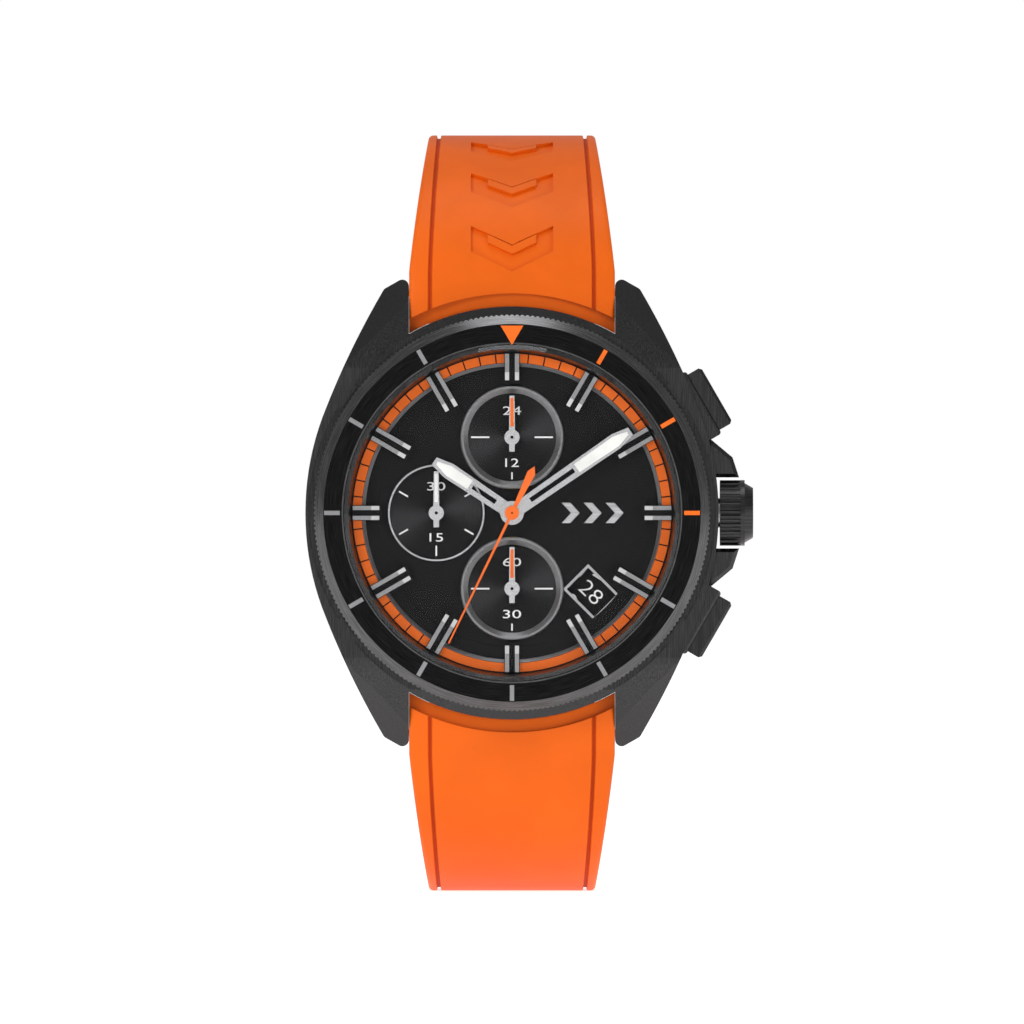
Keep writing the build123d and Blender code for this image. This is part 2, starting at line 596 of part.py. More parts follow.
def chrono_hand():
    low, high = CHRONO_Z, CHRONO_Z + 0.12
    corners = [(-CHRONO_TAIL, 0), (-CHRONO_TAIL + 0.8, 0.45), (0, 0.15), (CHRONO_LENGTH, 0.08),
               (CHRONO_LENGTH, -0.08), (0, -0.15), (-CHRONO_TAIL + 0.8, -0.45)]
    hand = prism(corners, low, high) + disc(CHRONO_HUB, low, high + 0.16)
    return turned(hand, CHRONO_ANGLE)


def sub_hand(name):
    low, high = SUB_HAND_Z, SUB_HAND_Z + 0.12
    corners = [(-SUB_HAND_TAIL, 0.28), (0, 0.33), (SUB_HAND_LENGTH, 0.26),
               (SUB_HAND_LENGTH, -0.26), (0, -0.33), (-SUB_HAND_TAIL, -0.28)]
    hand = turned(prism(corners, low, high), 90) + disc(SUB_HUB, low, high + 0.1)
    centre = polar(SUBDIAL_DISTANCE, SUBDIAL_RINGS[name][0])
    return Pos(centre[0], centre[1], 0) * (hand - disc(SUB_ARBOR, low - 1, low + 0.1))


# ---- crown -----------------------------------------------------------------------------
def crown():
    end = CROWN_START + CROWN_LENGTH
    body = along_x(CROWN_RADIUS, CROWN_START, end)
    cap = extrude(Pos(end, 0, STEM_Z) * Rot(0, 90, 0) * Circle(CROWN_CAP_RADIUS),
                  CROWN_CAP_LENGTH, taper=30)
    flute = along_x(0.33, CROWN_START - 1, end - 0.45, STEM_Z + CROWN_RADIUS + 0.08)
    ring = [Pos(0, 0, STEM_Z) * Rot(k * 360 / CROWN_FLUTES, 0, 0) * Pos(0, 0, -STEM_Z) * flute
            for k in range(CROWN_FLUTES)]
    body = body + cap - ring
    body -= along_x(TUBE_OUTER + 0.1, CROWN_START - 1, end - 0.3)
    body -= along_x(2.3, CROWN_START + 0.25, CROWN_START + 1.05)
    return body - along_x(STEM_RADIUS, CROWN_START, end + 0.4)


def crown_gasket():
    start = CROWN_START + 0.3
    return along_x(2.27, start, start + 0.7) - along_x(TUBE_OUTER + FIT, start - 1, start + 2)


def crown_tube():
    end = CROWN_START + CROWN_LENGTH - 0.45
    return along_x(TUBE_OUTER, 17.8, end) - along_x(TUBE_BORE, 17, end + 1)


def stem():
    """The winding stem, necked where the movement holds it."""
    rod = along_x(STEM_RADIUS, STEM_INNER_END, CROWN_START + CROWN_LENGTH + 0.4)
    neck = along_x(1.5, STEM_NECK - 0.3, STEM_NECK + 0.3) - along_x(0.35, 0, 30)
    return rod - neck


# ---- pushers ---------------------------------------------------------------------------
def pusher(angle):
    """A cap and its stem, which passes through the case wall and the spring."""
    block = slab(CAP_IN, CAP_OUT, -CAP_HALF, CAP_HALF, STEM_Z - CAP_HALF_HEIGHT,
                 STEM_Z + CAP_HALF_HEIGHT)
    front = block.faces().sort_by(Axis.X)[-1].edges()
    block = chamfer(front, 0.3)
    inner_half, inner_tall = CAP_HALF - 0.75, CAP_HALF_HEIGHT - 0.65
    block -= slab(CAP_OUT - 0.2, CAP_OUT + 1, -inner_half, inner_half, STEM_Z - inner_tall,
                  STEM_Z + inner_tall)
    block -= along_x(SPRING_RADIUS + SPRING_WIRE + 0.12, CAP_IN - 1, CAP_OUT - 0.9)
    block += along_x(PUSHER_STEM, 16.55, CAP_OUT - 0.85)
    return turned(block, angle)


def pusher_spring(angle):
    """A coil spring round the stem, between the case and the cap."""
    start, end = SPRING_SEAT + 0.2, CAP_OUT - 1.15
    length = end - start
    path = Helix(pitch=length / SPRING_COILS, height=length, radius=SPRING_RADIUS)
    section = Plane(origin=path @ 0, z_dir=path % 0) * Circle(SPRING_WIRE)
    coil = sweep(section, path)
    return turned(Pos(start, 0, STEM_Z) * Rot(0, 90, 0) * coil, angle)


# ---- movement, dial side ---------------------------------------------------------------
def cannon_pinion():
    tube_part = tube(CANNON_TUBE, CANNON_BORE, PLATE_TOP + 0.1, MINUTE_Z + HAND_THICKNESS)
    rim = toothed(CANNON_TEETH, CANNON_MODULE, PLATE_TOP + 0.15, PLATE_TOP + 0.4, (0, 0), 0,
                  CANNON_BORE)
    return tube_part + rim


def minute_wheel():
    rotation = mesh(0, CANNON_TEETH, 0, MINUTE_TEETH)
    low = PLATE_TOP + 0.15
    wheel = toothed(MINUTE_TEETH, CANNON_MODULE, low, low + 0.2, MINUTE_WHEEL_AT, rotation)
    pinion = toothed(MINUTE_PINION, SECOND_MODULE, low + 0.2, low + 0.6, MINUTE_WHEEL_AT, 0)
    return wheel + pinion - disc(ARBOR + FIT, 0, 20, MINUTE_WHEEL_AT)


def hour_wheel():
    rotation = mesh(0, MINUTE_PINION, 180, HOUR_TEETH)
    low = PLATE_TOP + 0.55
    body = toothed(HOUR_TEETH, SECOND_MODULE, low, low + WHEEL, (0, 0), rotation, HOUR_BORE)
    body += toothed(DAY_DRIVER, DAY_MODULE, low + 0.3, low + 0.45, (0, 0), 90, HOUR_BORE)
    return body + tube(HOUR_TUBE, HOUR_BORE, low, HOUR_Z + HAND_THICKNESS)


def day_idler():
    rotation = mesh(90, DAY_DRIVER, 90, DAY_IDLER)
    low = PLATE_TOP + 0.85
    wheel = toothed(DAY_IDLER, DAY_MODULE, low, low + WHEEL, DAY_IDLER_AT, rotation, ARBOR + FIT)
    return wheel + tube(0.45, ARBOR + FIT, low - 0.15, low + 0.2, DAY_IDLER_AT)


def day_wheel():
    rotation = mesh(mesh(90, DAY_DRIVER, 90, DAY_IDLER), DAY_IDLER, 90, DAY_TEETH)
    low = PLATE_TOP + 0.85
    wheel = toothed(DAY_TEETH, DAY_MODULE, low, low + WHEEL, UPPER, rotation)
    return wheel + disc(SUB_ARBOR, PLATE_TOP - 0.5, SUB_HAND_Z + 0.1, UPPER)


def date_disc():
    """The ring that carries the day numbers, with its inner teeth."""
    ring = disc(DATE_DISC_OUTER, DATE_DISC_Z, DATE_DISC_Z + 0.15)
    pitch = 360 / DATE_TEETH
    corners = []
    for tooth in range(DATE_TEETH):
        for radius, share in ((DATE_DISC_INNER + 0.35, -0.32), (DATE_DISC_INNER, -0.12),
                              (DATE_DISC_INNER, 0.12), (DATE_DISC_INNER + 0.35, 0.32)):
            corners.append(polar(radius, (tooth + share) * pitch))
    return ring - prism(corners, 0, 20)


def calendar_plate():
    """The cover over the motion work, held by three screws."""
    low = DATE_DISC_Z - 0.2
    plate = disc(DATE_DISC_INNER - 0.5, low, low + 0.15) - disc(HOUR_TUBE + 0.15, 0, 20)
    for centre in (UPPER, LEFT, LOWER):
        plate -= disc(SUB_ARBOR + 0.2, 0, 20, centre)
    for place in COVER_SCREWS:
        plate += disc(SCREW_HEAD, PLATE_TOP, low + 0.1, place)
        plate -= disc(SCREW_SHANK + SEAT, PLATE_TOP - 1, 20, place)
    return plate


# ---- movement, plates ------------------------------------------------------------------
def main_plate():
    plate = disc(PLATE_RADIUS, PLATE_BOTTOM, PLATE_TOP)
    rim = tube(PLATE_RADIUS, DATE_DISC_OUTER + 0.1, PLATE_BOTTOM, DIAL_BOTTOM)
    ledge = tube(PLATE_RADIUS, 13.4, PLATE_BOTTOM, DATE_DISC_Z - FIT)
    plate = plate + rim + ledge
    for place in PILLARS:
        plate += disc(0.8, BRIDGE_TOP, PLATE_BOTTOM + 0.1, place)
        plate -= disc(SCREW_SHANK + SEAT, 0, PLATE_TOP - 0.3, place)
    plate += slab(12.6, 14.6, -1.3, 1.3, PLATE_BOTTOM - 0.3, STEM_Z + 0.95)
    plate -= slab(STEM_INNER_END - 0.3, 12.6, -0.9, 0.9, 0, 20)
    plate -= along_x(STEM_RADIUS + FIT, STEM_INNER_END - 0.3, 20)
    plate -= disc(CANNON_TUBE + 0.25, 0, 20)
    plate -= disc(BATTERY_RADIUS + 0.1, 0, BRIDGE_TOP - 0.35 + BATTERY_HEIGHT + 0.1, BATTERY_AT)
    for centre in (UPPER, LEFT, LOWER):
        plate -= disc(SUB_ARBOR + FIT, 0, 20, centre)
    for centre in TRAIN_CENTRES:
        plate -= disc(ARBOR + FIT, PLATE_BOTTOM - 1, PLATE_BOTTOM + 0.5, centre)
    for centre in (MINUTE_WHEEL_AT, DAY_IDLER_AT):
        plate += disc(ARBOR, PLATE_TOP - 0.1, DATE_DISC_Z - 0.25, centre)
    for place in COVER_SCREWS:
        plate -= disc(SCREW_SHANK, PLATE_TOP - 0.5, PLATE_TOP + 1, place)
    for angle in DIAL_FEET:
        foot = polar(DIAL_FEET_RADIUS, angle)
        plate -= disc(DIAL_FOOT + SEAT, DIAL_BOTTOM - 1.3, 20, foot)
    return plate


def train_bridge():
    """The lower plate that carries the wheels' other pivots."""
    plate = disc(PLATE_RADIUS - 0.2, BRIDGE_BOTTOM, BRIDGE_TOP)
    plate -= slab(-20, 20, BOARD_EDGE, 20, 0, 20)
    plate -= disc(BATTERY_RADIUS + 0.3, 0, 20, BATTERY_AT)
    for centre in [(0, 0), LEFT, LOWER] + TRAIN_CENTRES:
        plate -= disc(ARBOR + FIT, 0, 20, centre)
    for place in PILLARS:
        plate -= disc(SCREW_SHANK + 2 * SEAT, 0, 20, place)
    return plate


def circuit_board():
    board = disc(PLATE_RADIUS - 0.2, BRIDGE_BOTTOM, BRIDGE_TOP)
    board &= slab(-20, 20, BOARD_EDGE + 0.1, 20, 0, 20)
    for place in PILLARS:
        board -= disc(SCREW_SHANK + 2 * SEAT, 0, 20, place)
    return board


def movement_screws():
    screws = []
    for place in PILLARS:
        shank = disc(SCREW_SHANK, BRIDGE_BOTTOM, PLATE_BOTTOM - 0.3, place)
        screws.append(shank + disc(SCREW_HEAD, BRIDGE_BOTTOM - 0.25, BRIDGE_BOTTOM, place))
    top = DATE_DISC_Z - 0.05
    for place in COVER_SCREWS:
        shank = disc(SCREW_SHANK - SEAT, PLATE_TOP - 0.4, top, place)
        screws.append(shank + disc(SCREW_HEAD - 0.15, top, top + 0.2, place))
    return group(screws)


def battery():
    low = BRIDGE_TOP - 0.35
    can = disc(BATTERY_RADIUS, low + 0.45, low + BATTERY_HEIGHT, BATTERY_AT)
    return can + disc(BATTERY_RADIUS - 0.7, low, low + 0.45, BATTERY_AT)


def battery_clamp():
    """A spring strip across the cell, screwed down at both ends."""
    low = BRIDGE_BOTTOM - 0.2
    strip = slab(-6.4, 6.4, -1.0, 1.0, low, low + 0.15)
    for side in (1, -1):
        strip -= disc(0.35, 0, 20, (side * 5.8, 0))
    return Pos(BATTERY_AT[0], BATTERY_AT[1], 0) * Rot(0, 0, CLAMP_TURN) * strip


def quartz_can():
    can = Rot(0, 90, 0) * Cylinder(0.75, 6.0)
    return turned(Pos(11.3, 0, BRIDGE_TOP + 0.8) * Rot(0, 0, 90) * can, 118)


def circuit_chip():
    return turned(slab(9.2, 11.4, -1.1, 1.1, BRIDGE_TOP, BRIDGE_TOP + 0.6), 92)


def movement_ring():
    """The plastic ring that centres the movement in the case."""
    ring = tube(BORE_RADIUS - 0.05, RING_INNER, PLUG_TOP, DIAL_BOTTOM)
    ring -= along_x(TUBE_OUTER + 0.1, 10, 20)
    for angle in PUSHER_ANGLES.values():
        ring -= turned(along_x(1.0, 14, 20), angle)
    return ring


# ---- movement, wheel trains ------------------------------------------------------------
def rim(teeth, module, layer, at, rotation):
    return toothed(teeth, module, LAYERS[layer], LAYERS[layer] + WHEEL, at, rotation)


def tall_pinion(module, layer, at, rotation):
    low = LAYERS[layer] - 0.08
    return toothed(PINION, module, low, low + 0.31, at, rotation)


def arbor(at, low=BRIDGE_BOTTOM, high=PLATE_BOTTOM + 0.45):
    return disc(ARBOR, low, high, at)


def seconds_wheel():
    """Small seconds arbor with the wheel that its motor turns."""
    wheel = rim(TRAIN_TEETH, MOTOR_MODULE, 1, LOWER, SECONDS_HEADINGS[0])
    wheel += disc(ARBOR, BRIDGE_BOTTOM, LAYERS[3], LOWER)
    return wheel + disc(SUB_ARBOR, LAYERS[3], SUB_HAND_Z + 0.1, LOWER)


def seconds_idler():
    near, far = SECONDS_HEADINGS
    body = tall_pinion(MOTOR_MODULE, 1, SECONDS_IDLER_AT, mesh(near, TRAIN_TEETH, near, PINION))
    wheel = rim(IDLER_TEETH, MOTOR_MODULE, 2, SECONDS_IDLER_AT, far)
    return body + wheel + arbor(SECONDS_IDLER_AT)


def rotor(at, rotation, layer):
    """A stepping motor's rotor: a magnet and a pinion on one arbor."""
    magnet = disc(0.65, 3.62, 3.95, at)
    return magnet + tall_pinion(MOTOR_MODULE, layer, at, rotation) + arbor(at)


def chrono_wheel():
    """The chronograph's arbor, its wheel and the pinion that drives the counter."""
    heading = bearing((0, 0), COUNTER_IDLER_AT)
    wheel = rim(TRAIN_TEETH, CHRONO_MODULE, 2, (0, 0), CHRONO_HEADINGS[0])
    wheel += tall_pinion(COUNTER_MODULE, 1, (0, 0), heading)
    wheel += disc(ARBOR, BRIDGE_BOTTOM, LAYERS[2], (0, 0))
    return wheel + disc(CHRONO_ARBOR, LAYERS[2], CHRONO_Z, (0, 0))


def counter_idler():
    heading = bearing((0, 0), COUNTER_IDLER_AT)
    body = rim(IDLER_TEETH, COUNTER_MODULE, 1, COUNTER_IDLER_AT,
               mesh(heading, PINION, heading, IDLER_TEETH))
    towards = bearing(COUNTER_IDLER_AT, LEFT)
    pinion = tall_pinion(COUNTER_MODULE, 3, COUNTER_IDLER_AT, towards)
    return body + pinion + arbor(COUNTER_IDLER_AT)


def counter_wheel():
    towards = bearing(COUNTER_IDLER_AT, LEFT)
    wheel = rim(TRAIN_TEETH, COUNTER_MODULE, 3, LEFT,
                mesh(towards, PINION, towards, TRAIN_TEETH))
    wheel += disc(ARBOR, BRIDGE_BOTTOM, LAYERS[3], LEFT)
    return wheel + disc(SUB_ARBOR, LAYERS[3], SUB_HAND_Z + 0.1, LEFT)


def chrono_idler():
    near, far = CHRONO_HEADINGS
    body = tall_pinion(CHRONO_MODULE, 2, CHRONO_IDLER_AT, mesh(near, TRAIN_TEETH, near, PINION))
    wheel = rim(IDLER_TEETH, MOTOR_MODULE, 1, CHRONO_IDLER_AT, far)
    return body + wheel + arbor(CHRONO_IDLER_AT)


def bar_between(start, end, width, low, high):
    """A flat bar with square ends between two points."""
    length = hypot(end[0] - start[0], end[1] - start[1])
    bar = slab(0, length, -width / 2, width / 2, low, high)
    return Pos(start[0], start[1], 0) * Rot(0, 0, bearing(start, end)) * bar


def stator(rotor_at, coil_radius, coil_angle):
    """Soft iron: the coil's core, and two arms that close round the rotor."""
    low, high = STATOR_LOW, STATOR_HIGH
    ends = [offset(polar(coil_radius, coil_angle), side * STATOR_REACH, coil_angle + 90)
            for side in (1, -1)]
    knees = [offset(end, STATOR_KNEE, coil_angle + 180) for end in ends]
    plate = bar_between(ends[0], ends[1], 0.8, low, high)
    for end, knee in zip(ends, knees):
        plate += disc(0.8, low, high, end) + disc(0.5, low, high, knee)
        plate += bar_between(end, knee, 1.0, low, high)
        plate += bar_between(knee, rotor_at, 1.0, low, high)
    plate += disc(1.6, low, high, rotor_at)
    return plate - disc(0.85, low - 1, high + 1, rotor_at)


def coil(coil_radius, coil_angle):
    winding = slab(-0.85, 0.85, -2.2, 2.2, 2.95, 4.05)
    core = slab(-0.42, 0.42, -4, 4, STATOR_LOW - SEAT, STATOR_HIGH + SEAT)
    centre = polar(coil_radius, coil_angle)
    return Pos(centre[0], centre[1], 0) * Rot(0, 0, coil_angle) * (winding - core)


# ---- strap -----------------------------------------------------------------------------
def spring_bar(y, z, half_length, radius=SPRING_BAR_RADIUS):
    """A sprung tube with a pin at each end."""
    body = along_x(radius, -half_length + 0.15, half_length - 0.15, z, y)
    return body + along_x(SPRING_BAR_PIN, -half_length - 0.85, half_length + 0.85, z, y)


def front_face(outer_extra=0.0, skin=None):
    """The strap's side view from the case to the horizon, in Y and Z."""
    outer, inner = FRONT_OUTER_R + outer_extra, FRONT_INNER_R
    outer_y, inner_y = HORIZON_Y - FRONT_OUTER_R, HORIZON_Y - STRAP_THICKNESS - FRONT_INNER_R
    if skin is not None:
        inner, inner_y = FRONT_OUTER_R - skin, outer_y
    outer_angle = acos((STRAP_START_Y - outer_y) / outer)
    inner_angle = acos((STRAP_START_Y - inner_y) / inner)

    def on(centre_y, radius, angle):
        return centre_y + radius * cos(angle), HORIZON_Z + radius * sin(angle)

    edges = [
        ThreePointArc(on(outer_y, outer, 0), on(outer_y, outer, outer_angle / 2),
                      on(outer_y, outer, outer_angle)),
        Line(on(outer_y, outer, outer_angle), on(inner_y, inner, inner_angle)),
        ThreePointArc(on(inner_y, inner, inner_angle), on(inner_y, inner, inner_angle / 2),
                      on(inner_y, inner, 0)),
        Line(on(inner_y, inner, 0), on(outer_y, outer, 0)),
    ]
    return Plane.YZ * make_face(edges)


def bend_face(outer, inner, drop):
    """The strap's side view beside and round the back of the wrist."""
    low = HORIZON_Z - drop
    ring = Circle(outer) - Circle(inner)
    window = Pos(50, -50) * Rectangle(100, 100)
    bend = Pos(BEND_Y, low) * (ring & window)
    side = Pos(BEND_Y + (outer + inner) / 2, (HORIZON_Z + low) / 2) * Rectangle(
        outer - inner, drop)
    return Plane.YZ * (bend + side)


def front_outline(half_at_case, half_at_horizon):
    """The strap from above: parallel at the case, then narrowing."""
    start, y1, y2 = STRAP_START_Y - 3.8, STRAP_STRAIGHT_Y, HORIZON_Y + 3
    slope = (half_at_case - half_at_horizon) / (HORIZON_Y - y1)
    end = half_at_case - slope * (y2 - y1)
    middle = (half_at_case + end) / 2 + 0.12
    edges = [
        Line((-half_at_case, start), (half_at_case, start)),
        Line((half_at_case, start), (half_at_case, y1)),
        ThreePointArc((half_at_case, y1), (middle, (y1 + y2) / 2), (end, y2)),
        Line((end, y2), (-end, y2)),
        ThreePointArc((-end, y2), (-middle, (y1 + y2) / 2), (-half_at_case, y1)),
        Line((-half_at_case, y1), (-half_at_case, start)),
    ]
    return make_face(edges)


def front_column(half_at_case, half_at_horizon):
    return Pos(0, 0, HORIZON_Z - 1) * extrude(front_outline(half_at_case, half_at_horizon), 40)


def extruded(face, half):
    return extrude(face, half, both=True)


def front_grooves():
    outer = front_column(STRAP_HALF_WIDTH - GROOVE_AT_CASE, STRAP_HALF_BACK - GROOVE_AT_HORIZON)
    inner = front_column(STRAP_HALF_WIDTH - GROOVE_AT_CASE - GROOVE_WIDTH,
                         STRAP_HALF_BACK - GROOVE_AT_HORIZON - GROOVE_WIDTH)
    return extruded(front_face(0.5, GROOVE_DEPTH), STRAP_HALF_WIDTH) & (outer - inner)


def strap_front():
    """One strap half from the case to the horizon, on the 12 o'clock side."""
    body = extruded(front_face(), STRAP_HALF_WIDTH + 1) & front_column(STRAP_HALF_WIDTH, STRAP_HALF_BACK)
    body -= disc(STRAP_END_RADIUS, -30, 30)
    body -= disc(STEP_RADIUS, STEP_Z, 30)
    body -= along_x(SPRING_BAR_RADIUS + SEAT, -20, 20, BAR_Z, BAR_Y)
    return body - front_grooves()


def bend_half(drop):
    half_thick = STRAP_THICKNESS / 2
    outer, inner = BACK_R + half_thick, BACK_R - half_thick
    body = extruded(bend_face(outer, inner, drop), STRAP_HALF_BACK)
    skin = bend_face(outer + 0.5, outer - GROOVE_DEPTH, drop)
    edge = STRAP_HALF_BACK - GROOVE_AT_HORIZON
    groove = extruded(skin, edge) - extruded(skin, edge - GROOVE_WIDTH)
    return body - groove


def flat_run(y0, y1, middle_z, half=STRAP_HALF_BACK):
    low, high = middle_z - STRAP_THICKNESS / 2, middle_z + STRAP_THICKNESS / 2
    body = slab(-half, half, y0, y1, low, high)
    edge = half - GROOVE_AT_HORIZON
    for side in (1, -1):
        x0, x1 = sorted((side * edge, side * (edge - GROOVE_WIDTH)))
        body -= slab(x0, x1, y0 - 1, y1 + 1, low - 1, low + GROOVE_DEPTH)
    return body


def chevron_sketch(half, rise, thick):
    """A chevron across the strap, pointing along it."""
    return make_face(Polyline((-half, 0), (0, rise), (half, 0), (half, thick), (0, rise + thick),
                              (-half, thick), close=True))


def debossed_chevrons():
    """Outlined chevrons pressed into the upper strap half, following its surface."""
    outer_y = HORIZON_Y - FRONT_OUTER_R
    skin = extruded(front_face(0.5, CHEVRON_DEPTH), 6)
    cutters = []
    for angle in CHEVRON_ANGLES:
        y = outer_y + FRONT_OUTER_R * cos(radians(angle))
        z = HORIZON_Z + FRONT_OUTER_R * sin(radians(angle))
        radial = (0, cos(radians(angle)), sin(radians(angle)))
        spot = Plane(origin=(0, y, z), x_dir=(-1, 0, 0), z_dir=radial)
        shape = chevron_sketch(4.4, 2.4, 3.2) - Pos(0, 1.1) * chevron_sketch(2.6, 1.42, 1.0)
        cutters.append(extrude(spot * (Pos(0, -CHEVRON_SHIFT) * shape), 1.6, both=True))
    return [skin & cutter for cutter in cutters]


def strap_upper():
    """The short half: it carries the buckle and both keepers."""
    body = strap_front() + bend_half(SHORT_DROP)
    body += flat_run(BUCKLE_BAR_Y, BEND_Y, SHORT_Z)
    body += along_x(STRAP_THICKNESS / 2, -STRAP_HALF_BACK, STRAP_HALF_BACK, SHORT_Z, BUCKLE_BAR_Y)
    body -= along_x(BUCKLE_PIN + FIT, -20, 20, SHORT_Z, BUCKLE_BAR_Y)
    body -= slab(-1.5, 1.5, BUCKLE_BAR_Y - 4, BUCKLE_BAR_Y + 2.6, SHORT_Z - 5, SHORT_Z + 5)
    for cutter in debossed_chevrons():
        body -= cutter
    return body


def strap_hole(y, z, tilt):
    """A rounded hole across the strap, through its thickness."""
    hole = extrude(SlotOverall(HOLE_LONG, 2 * HOLE_HALF), 4, both=True)
    return Pos(0, y, z) * Rot(tilt, 0, 0) * hole


def strap_holes():
    """Holes at an even pitch along the long half, from the tongue back to the horizon."""
    holes = []
    straight = TONGUE_HOLE_Y + BEND_Y
    arc = BACK_R * pi / 2
    for k in range(-2, 9):
        run = k * HOLE_PITCH
        if run < straight:
            holes.append(strap_hole(TONGUE_HOLE_Y - run, LONG_Z, 0))
        elif run < straight + arc:
            turn = (run - straight) / BACK_R
            holes.append(strap_hole(-BEND_Y - BACK_R * sin(turn),
                                    HORIZON_Z - LONG_DROP - BACK_R * cos(turn), -degrees(turn)))
        else:
            rise = run - straight - arc
            holes.append(strap_hole(-BEND_Y - BACK_R, HORIZON_Z - LONG_DROP + rise, 90))
    return holes


def tail():
    """The free end of the long half, lying round the outside of the short half."""
    middle = BACK_R + (SHORT_Z - LONG_Z)
    half_thick = STRAP_THICKNESS / 2
    ring = Circle(middle + half_thick) - Circle(middle - half_thick)
    wedge = make_face(Polyline((0, 0), (0, -40), (TAIL_REACH, -40), close=True))
    bend = Plane.YZ * (Pos(BEND_Y, HORIZON_Z - SHORT_DROP) * (ring & wedge))
    return extruded(bend, STRAP_HALF_BACK)


def strap_lower():
    """The long half, with the adjusting holes and the tail."""
    body = mirror(strap_front() + bend_half(LONG_DROP), Plane.XZ)
    body += flat_run(-BEND_Y, BEND_Y, LONG_Z) + tail()
    for hole in strap_holes():
        body -= hole
    return body


def buckle_frame():
    """A bent frame: ears on the pin, side rails, and the bar that the tongue rests on."""
    half, rail = STRAP_HALF_BACK + 0.45, 1.5
    top, low = SHORT_Z + 1.0, LONG_Z - STRAP_THICKNESS / 2 - BUCKLE_GAP
    body = None
    for side in (1, -1):
        x0, x1 = sorted((side * half, side * (half + rail)))
        corners = [(BUCKLE_BAR_Y + 1.3, top), (BUCKLE_BAR_Y + 1.3, SHORT_Z - 1.3),
                   (BUCKLE_TIP_Y + 1.6, low - 1.3), (BUCKLE_TIP_Y, low - 1.3),
                   (BUCKLE_TIP_Y, low + 0.1), (BUCKLE_TIP_Y + 3, low + 1.2)]
        side_face = Plane.YZ * make_face(Polyline(*corners, close=True))
        ear = Pos(x0, 0, 0) * extrude(side_face, x1 - x0)
        body = ear if body is None else body + ear
    bar = slab(-half - rail, half + rail, BUCKLE_TIP_Y, BUCKLE_TIP_Y + 1.9, low - 1.3, low)
    bar -= slab(-1.0, 1.0, BUCKLE_TIP_Y - 1, BUCKLE_TIP_Y + 3, low - 2, low - 0.75)
    body += bar
    return body - along_x(BUCKLE_PIN - 0.2 + FIT, -20, 20, SHORT_Z, BUCKLE_BAR_Y)


def buckle_bar():
    """The sprung pin through the strap's end, the tongue and the frame's ears."""
    half = STRAP_HALF_BACK + 0.3
    body = along_x(BUCKLE_PIN, -half, half, SHORT_Z, BUCKLE_BAR_Y)
    return body + along_x(BUCKLE_PIN - 0.2, -half - 1.2, half + 1.2, SHORT_Z, BUCKLE_BAR_Y)


def buckle_tongue():
    """An eye on the pin and a blade bent through the strap's hole to the frame's bar."""
    outside, inside = LONG_Z - STRAP_THICKNESS / 2, LONG_Z + STRAP_THICKNESS / 2
    rest = outside - BUCKLE_GAP - 0.8
    near, far = TONGUE_HOLE_Y + 0.45, TONGUE_HOLE_Y - 0.65
    corners = [
        (BUCKLE_BAR_Y - 0.8, SHORT_Z + 0.8), (BUCKLE_BAR_Y - 1.85, SHORT_Z - 0.3),
        (far + 0.2, inside + 0.1), (far, outside - 0.2), (BUCKLE_TIP_Y + 2.1, rest),
        (BUCKLE_TIP_Y + 0.1, rest), (BUCKLE_TIP_Y + 0.1, rest - 0.6),
        (BUCKLE_TIP_Y + 2.1, rest - 0.65), (far + 0.2, outside - 1.0), (near - 0.1, outside - 0.2),
        (near, inside), (BUCKLE_BAR_Y - 0.5, SHORT_Z - 1.0),
    ]
    blade = extruded(Plane.YZ * make_face(Polyline(*corners, close=True)), 0.75)
    eye = along_x(1.15, -1.1, 1.1, SHORT_Z, BUCKLE_BAR_Y)
    return blade + eye - along_x(BUCKLE_PIN + FIT, -5, 5, SHORT_Z, BUCKLE_BAR_Y)


def keeper(y0, y1):
    """A loop round both layers of the strap."""
    half, reach = STRAP_HALF_BACK + KEEPER_PLAY, STRAP_THICKNESS / 2 + KEEPER_PLAY
    top, low = SHORT_Z + reach, LONG_Z - reach
    wall = KEEPER_WALL
    loop = slab(-half - wall, half + wall, y0, y1, low - wall, top + wall)
    loop = fillet(loop.edges().filter_by(Axis.Y), 0.8)
    return loop - slab(-half, half, y0 - 1, y1 + 1, low, top)


# ---- all pieces ------------------------------------------------------------------------
def hands():
    hour = main_hand(HOUR_LENGTH, HOUR_Z, HOUR_BORE, 2.1, 5.4)
    hour -= disc(HOUR_TUBE, HOUR_Z - 1, HOUR_Z + 1)
    minute = main_hand(MINUTE_LENGTH, MINUTE_Z, CANNON_TUBE, 2.4, 8.4)
    return {
        "hour_hand": turned(hour, HOUR_ANGLE),
        "minute_hand": turned(minute, MINUTE_ANGLE),
        "chrono_seconds_hand": chrono_hand(),
        "day_hand": sub_hand("upper"),
        "chrono_minutes_hand": sub_hand("left"),
        "small_seconds_hand": sub_hand("lower"),
    }


def housing():
    pieces = {
        "case_middle": case_middle(), "case_back": case_back(),
        "case_back_screws": back_screws(), "case_back_gasket": back_gasket(),
        "crystal": crystal(), "crystal_gasket": crystal_gasket(),
        "bezel": bezel(), "bezel_insert": bezel_insert(),
        "bezel_retaining_wire": retaining_wire(), "bezel_click_spring": click_spring(),
        "crown": crown(), "crown_gasket": crown_gasket(), "crown_tube": crown_tube(),
        "stem": stem(),
        "pusher_springs": group([pusher_spring(angle) for angle in PUSHER_ANGLES.values()]),
    }
    for name, angle in PUSHER_ANGLES.items():
        pieces[f"pusher_{name}"] = pusher(angle)
    return pieces


def face():
    rings = group([subdial_ring(name) for name in SUBDIAL_RINGS])
    return {
        "dial": dial(), "subdial_rings": rings, "chapter_ring": chapter_ring(),
        "hour_bars": hour_bars(), "date_frame": date_frame(), "date_disc": date_disc(),
    }


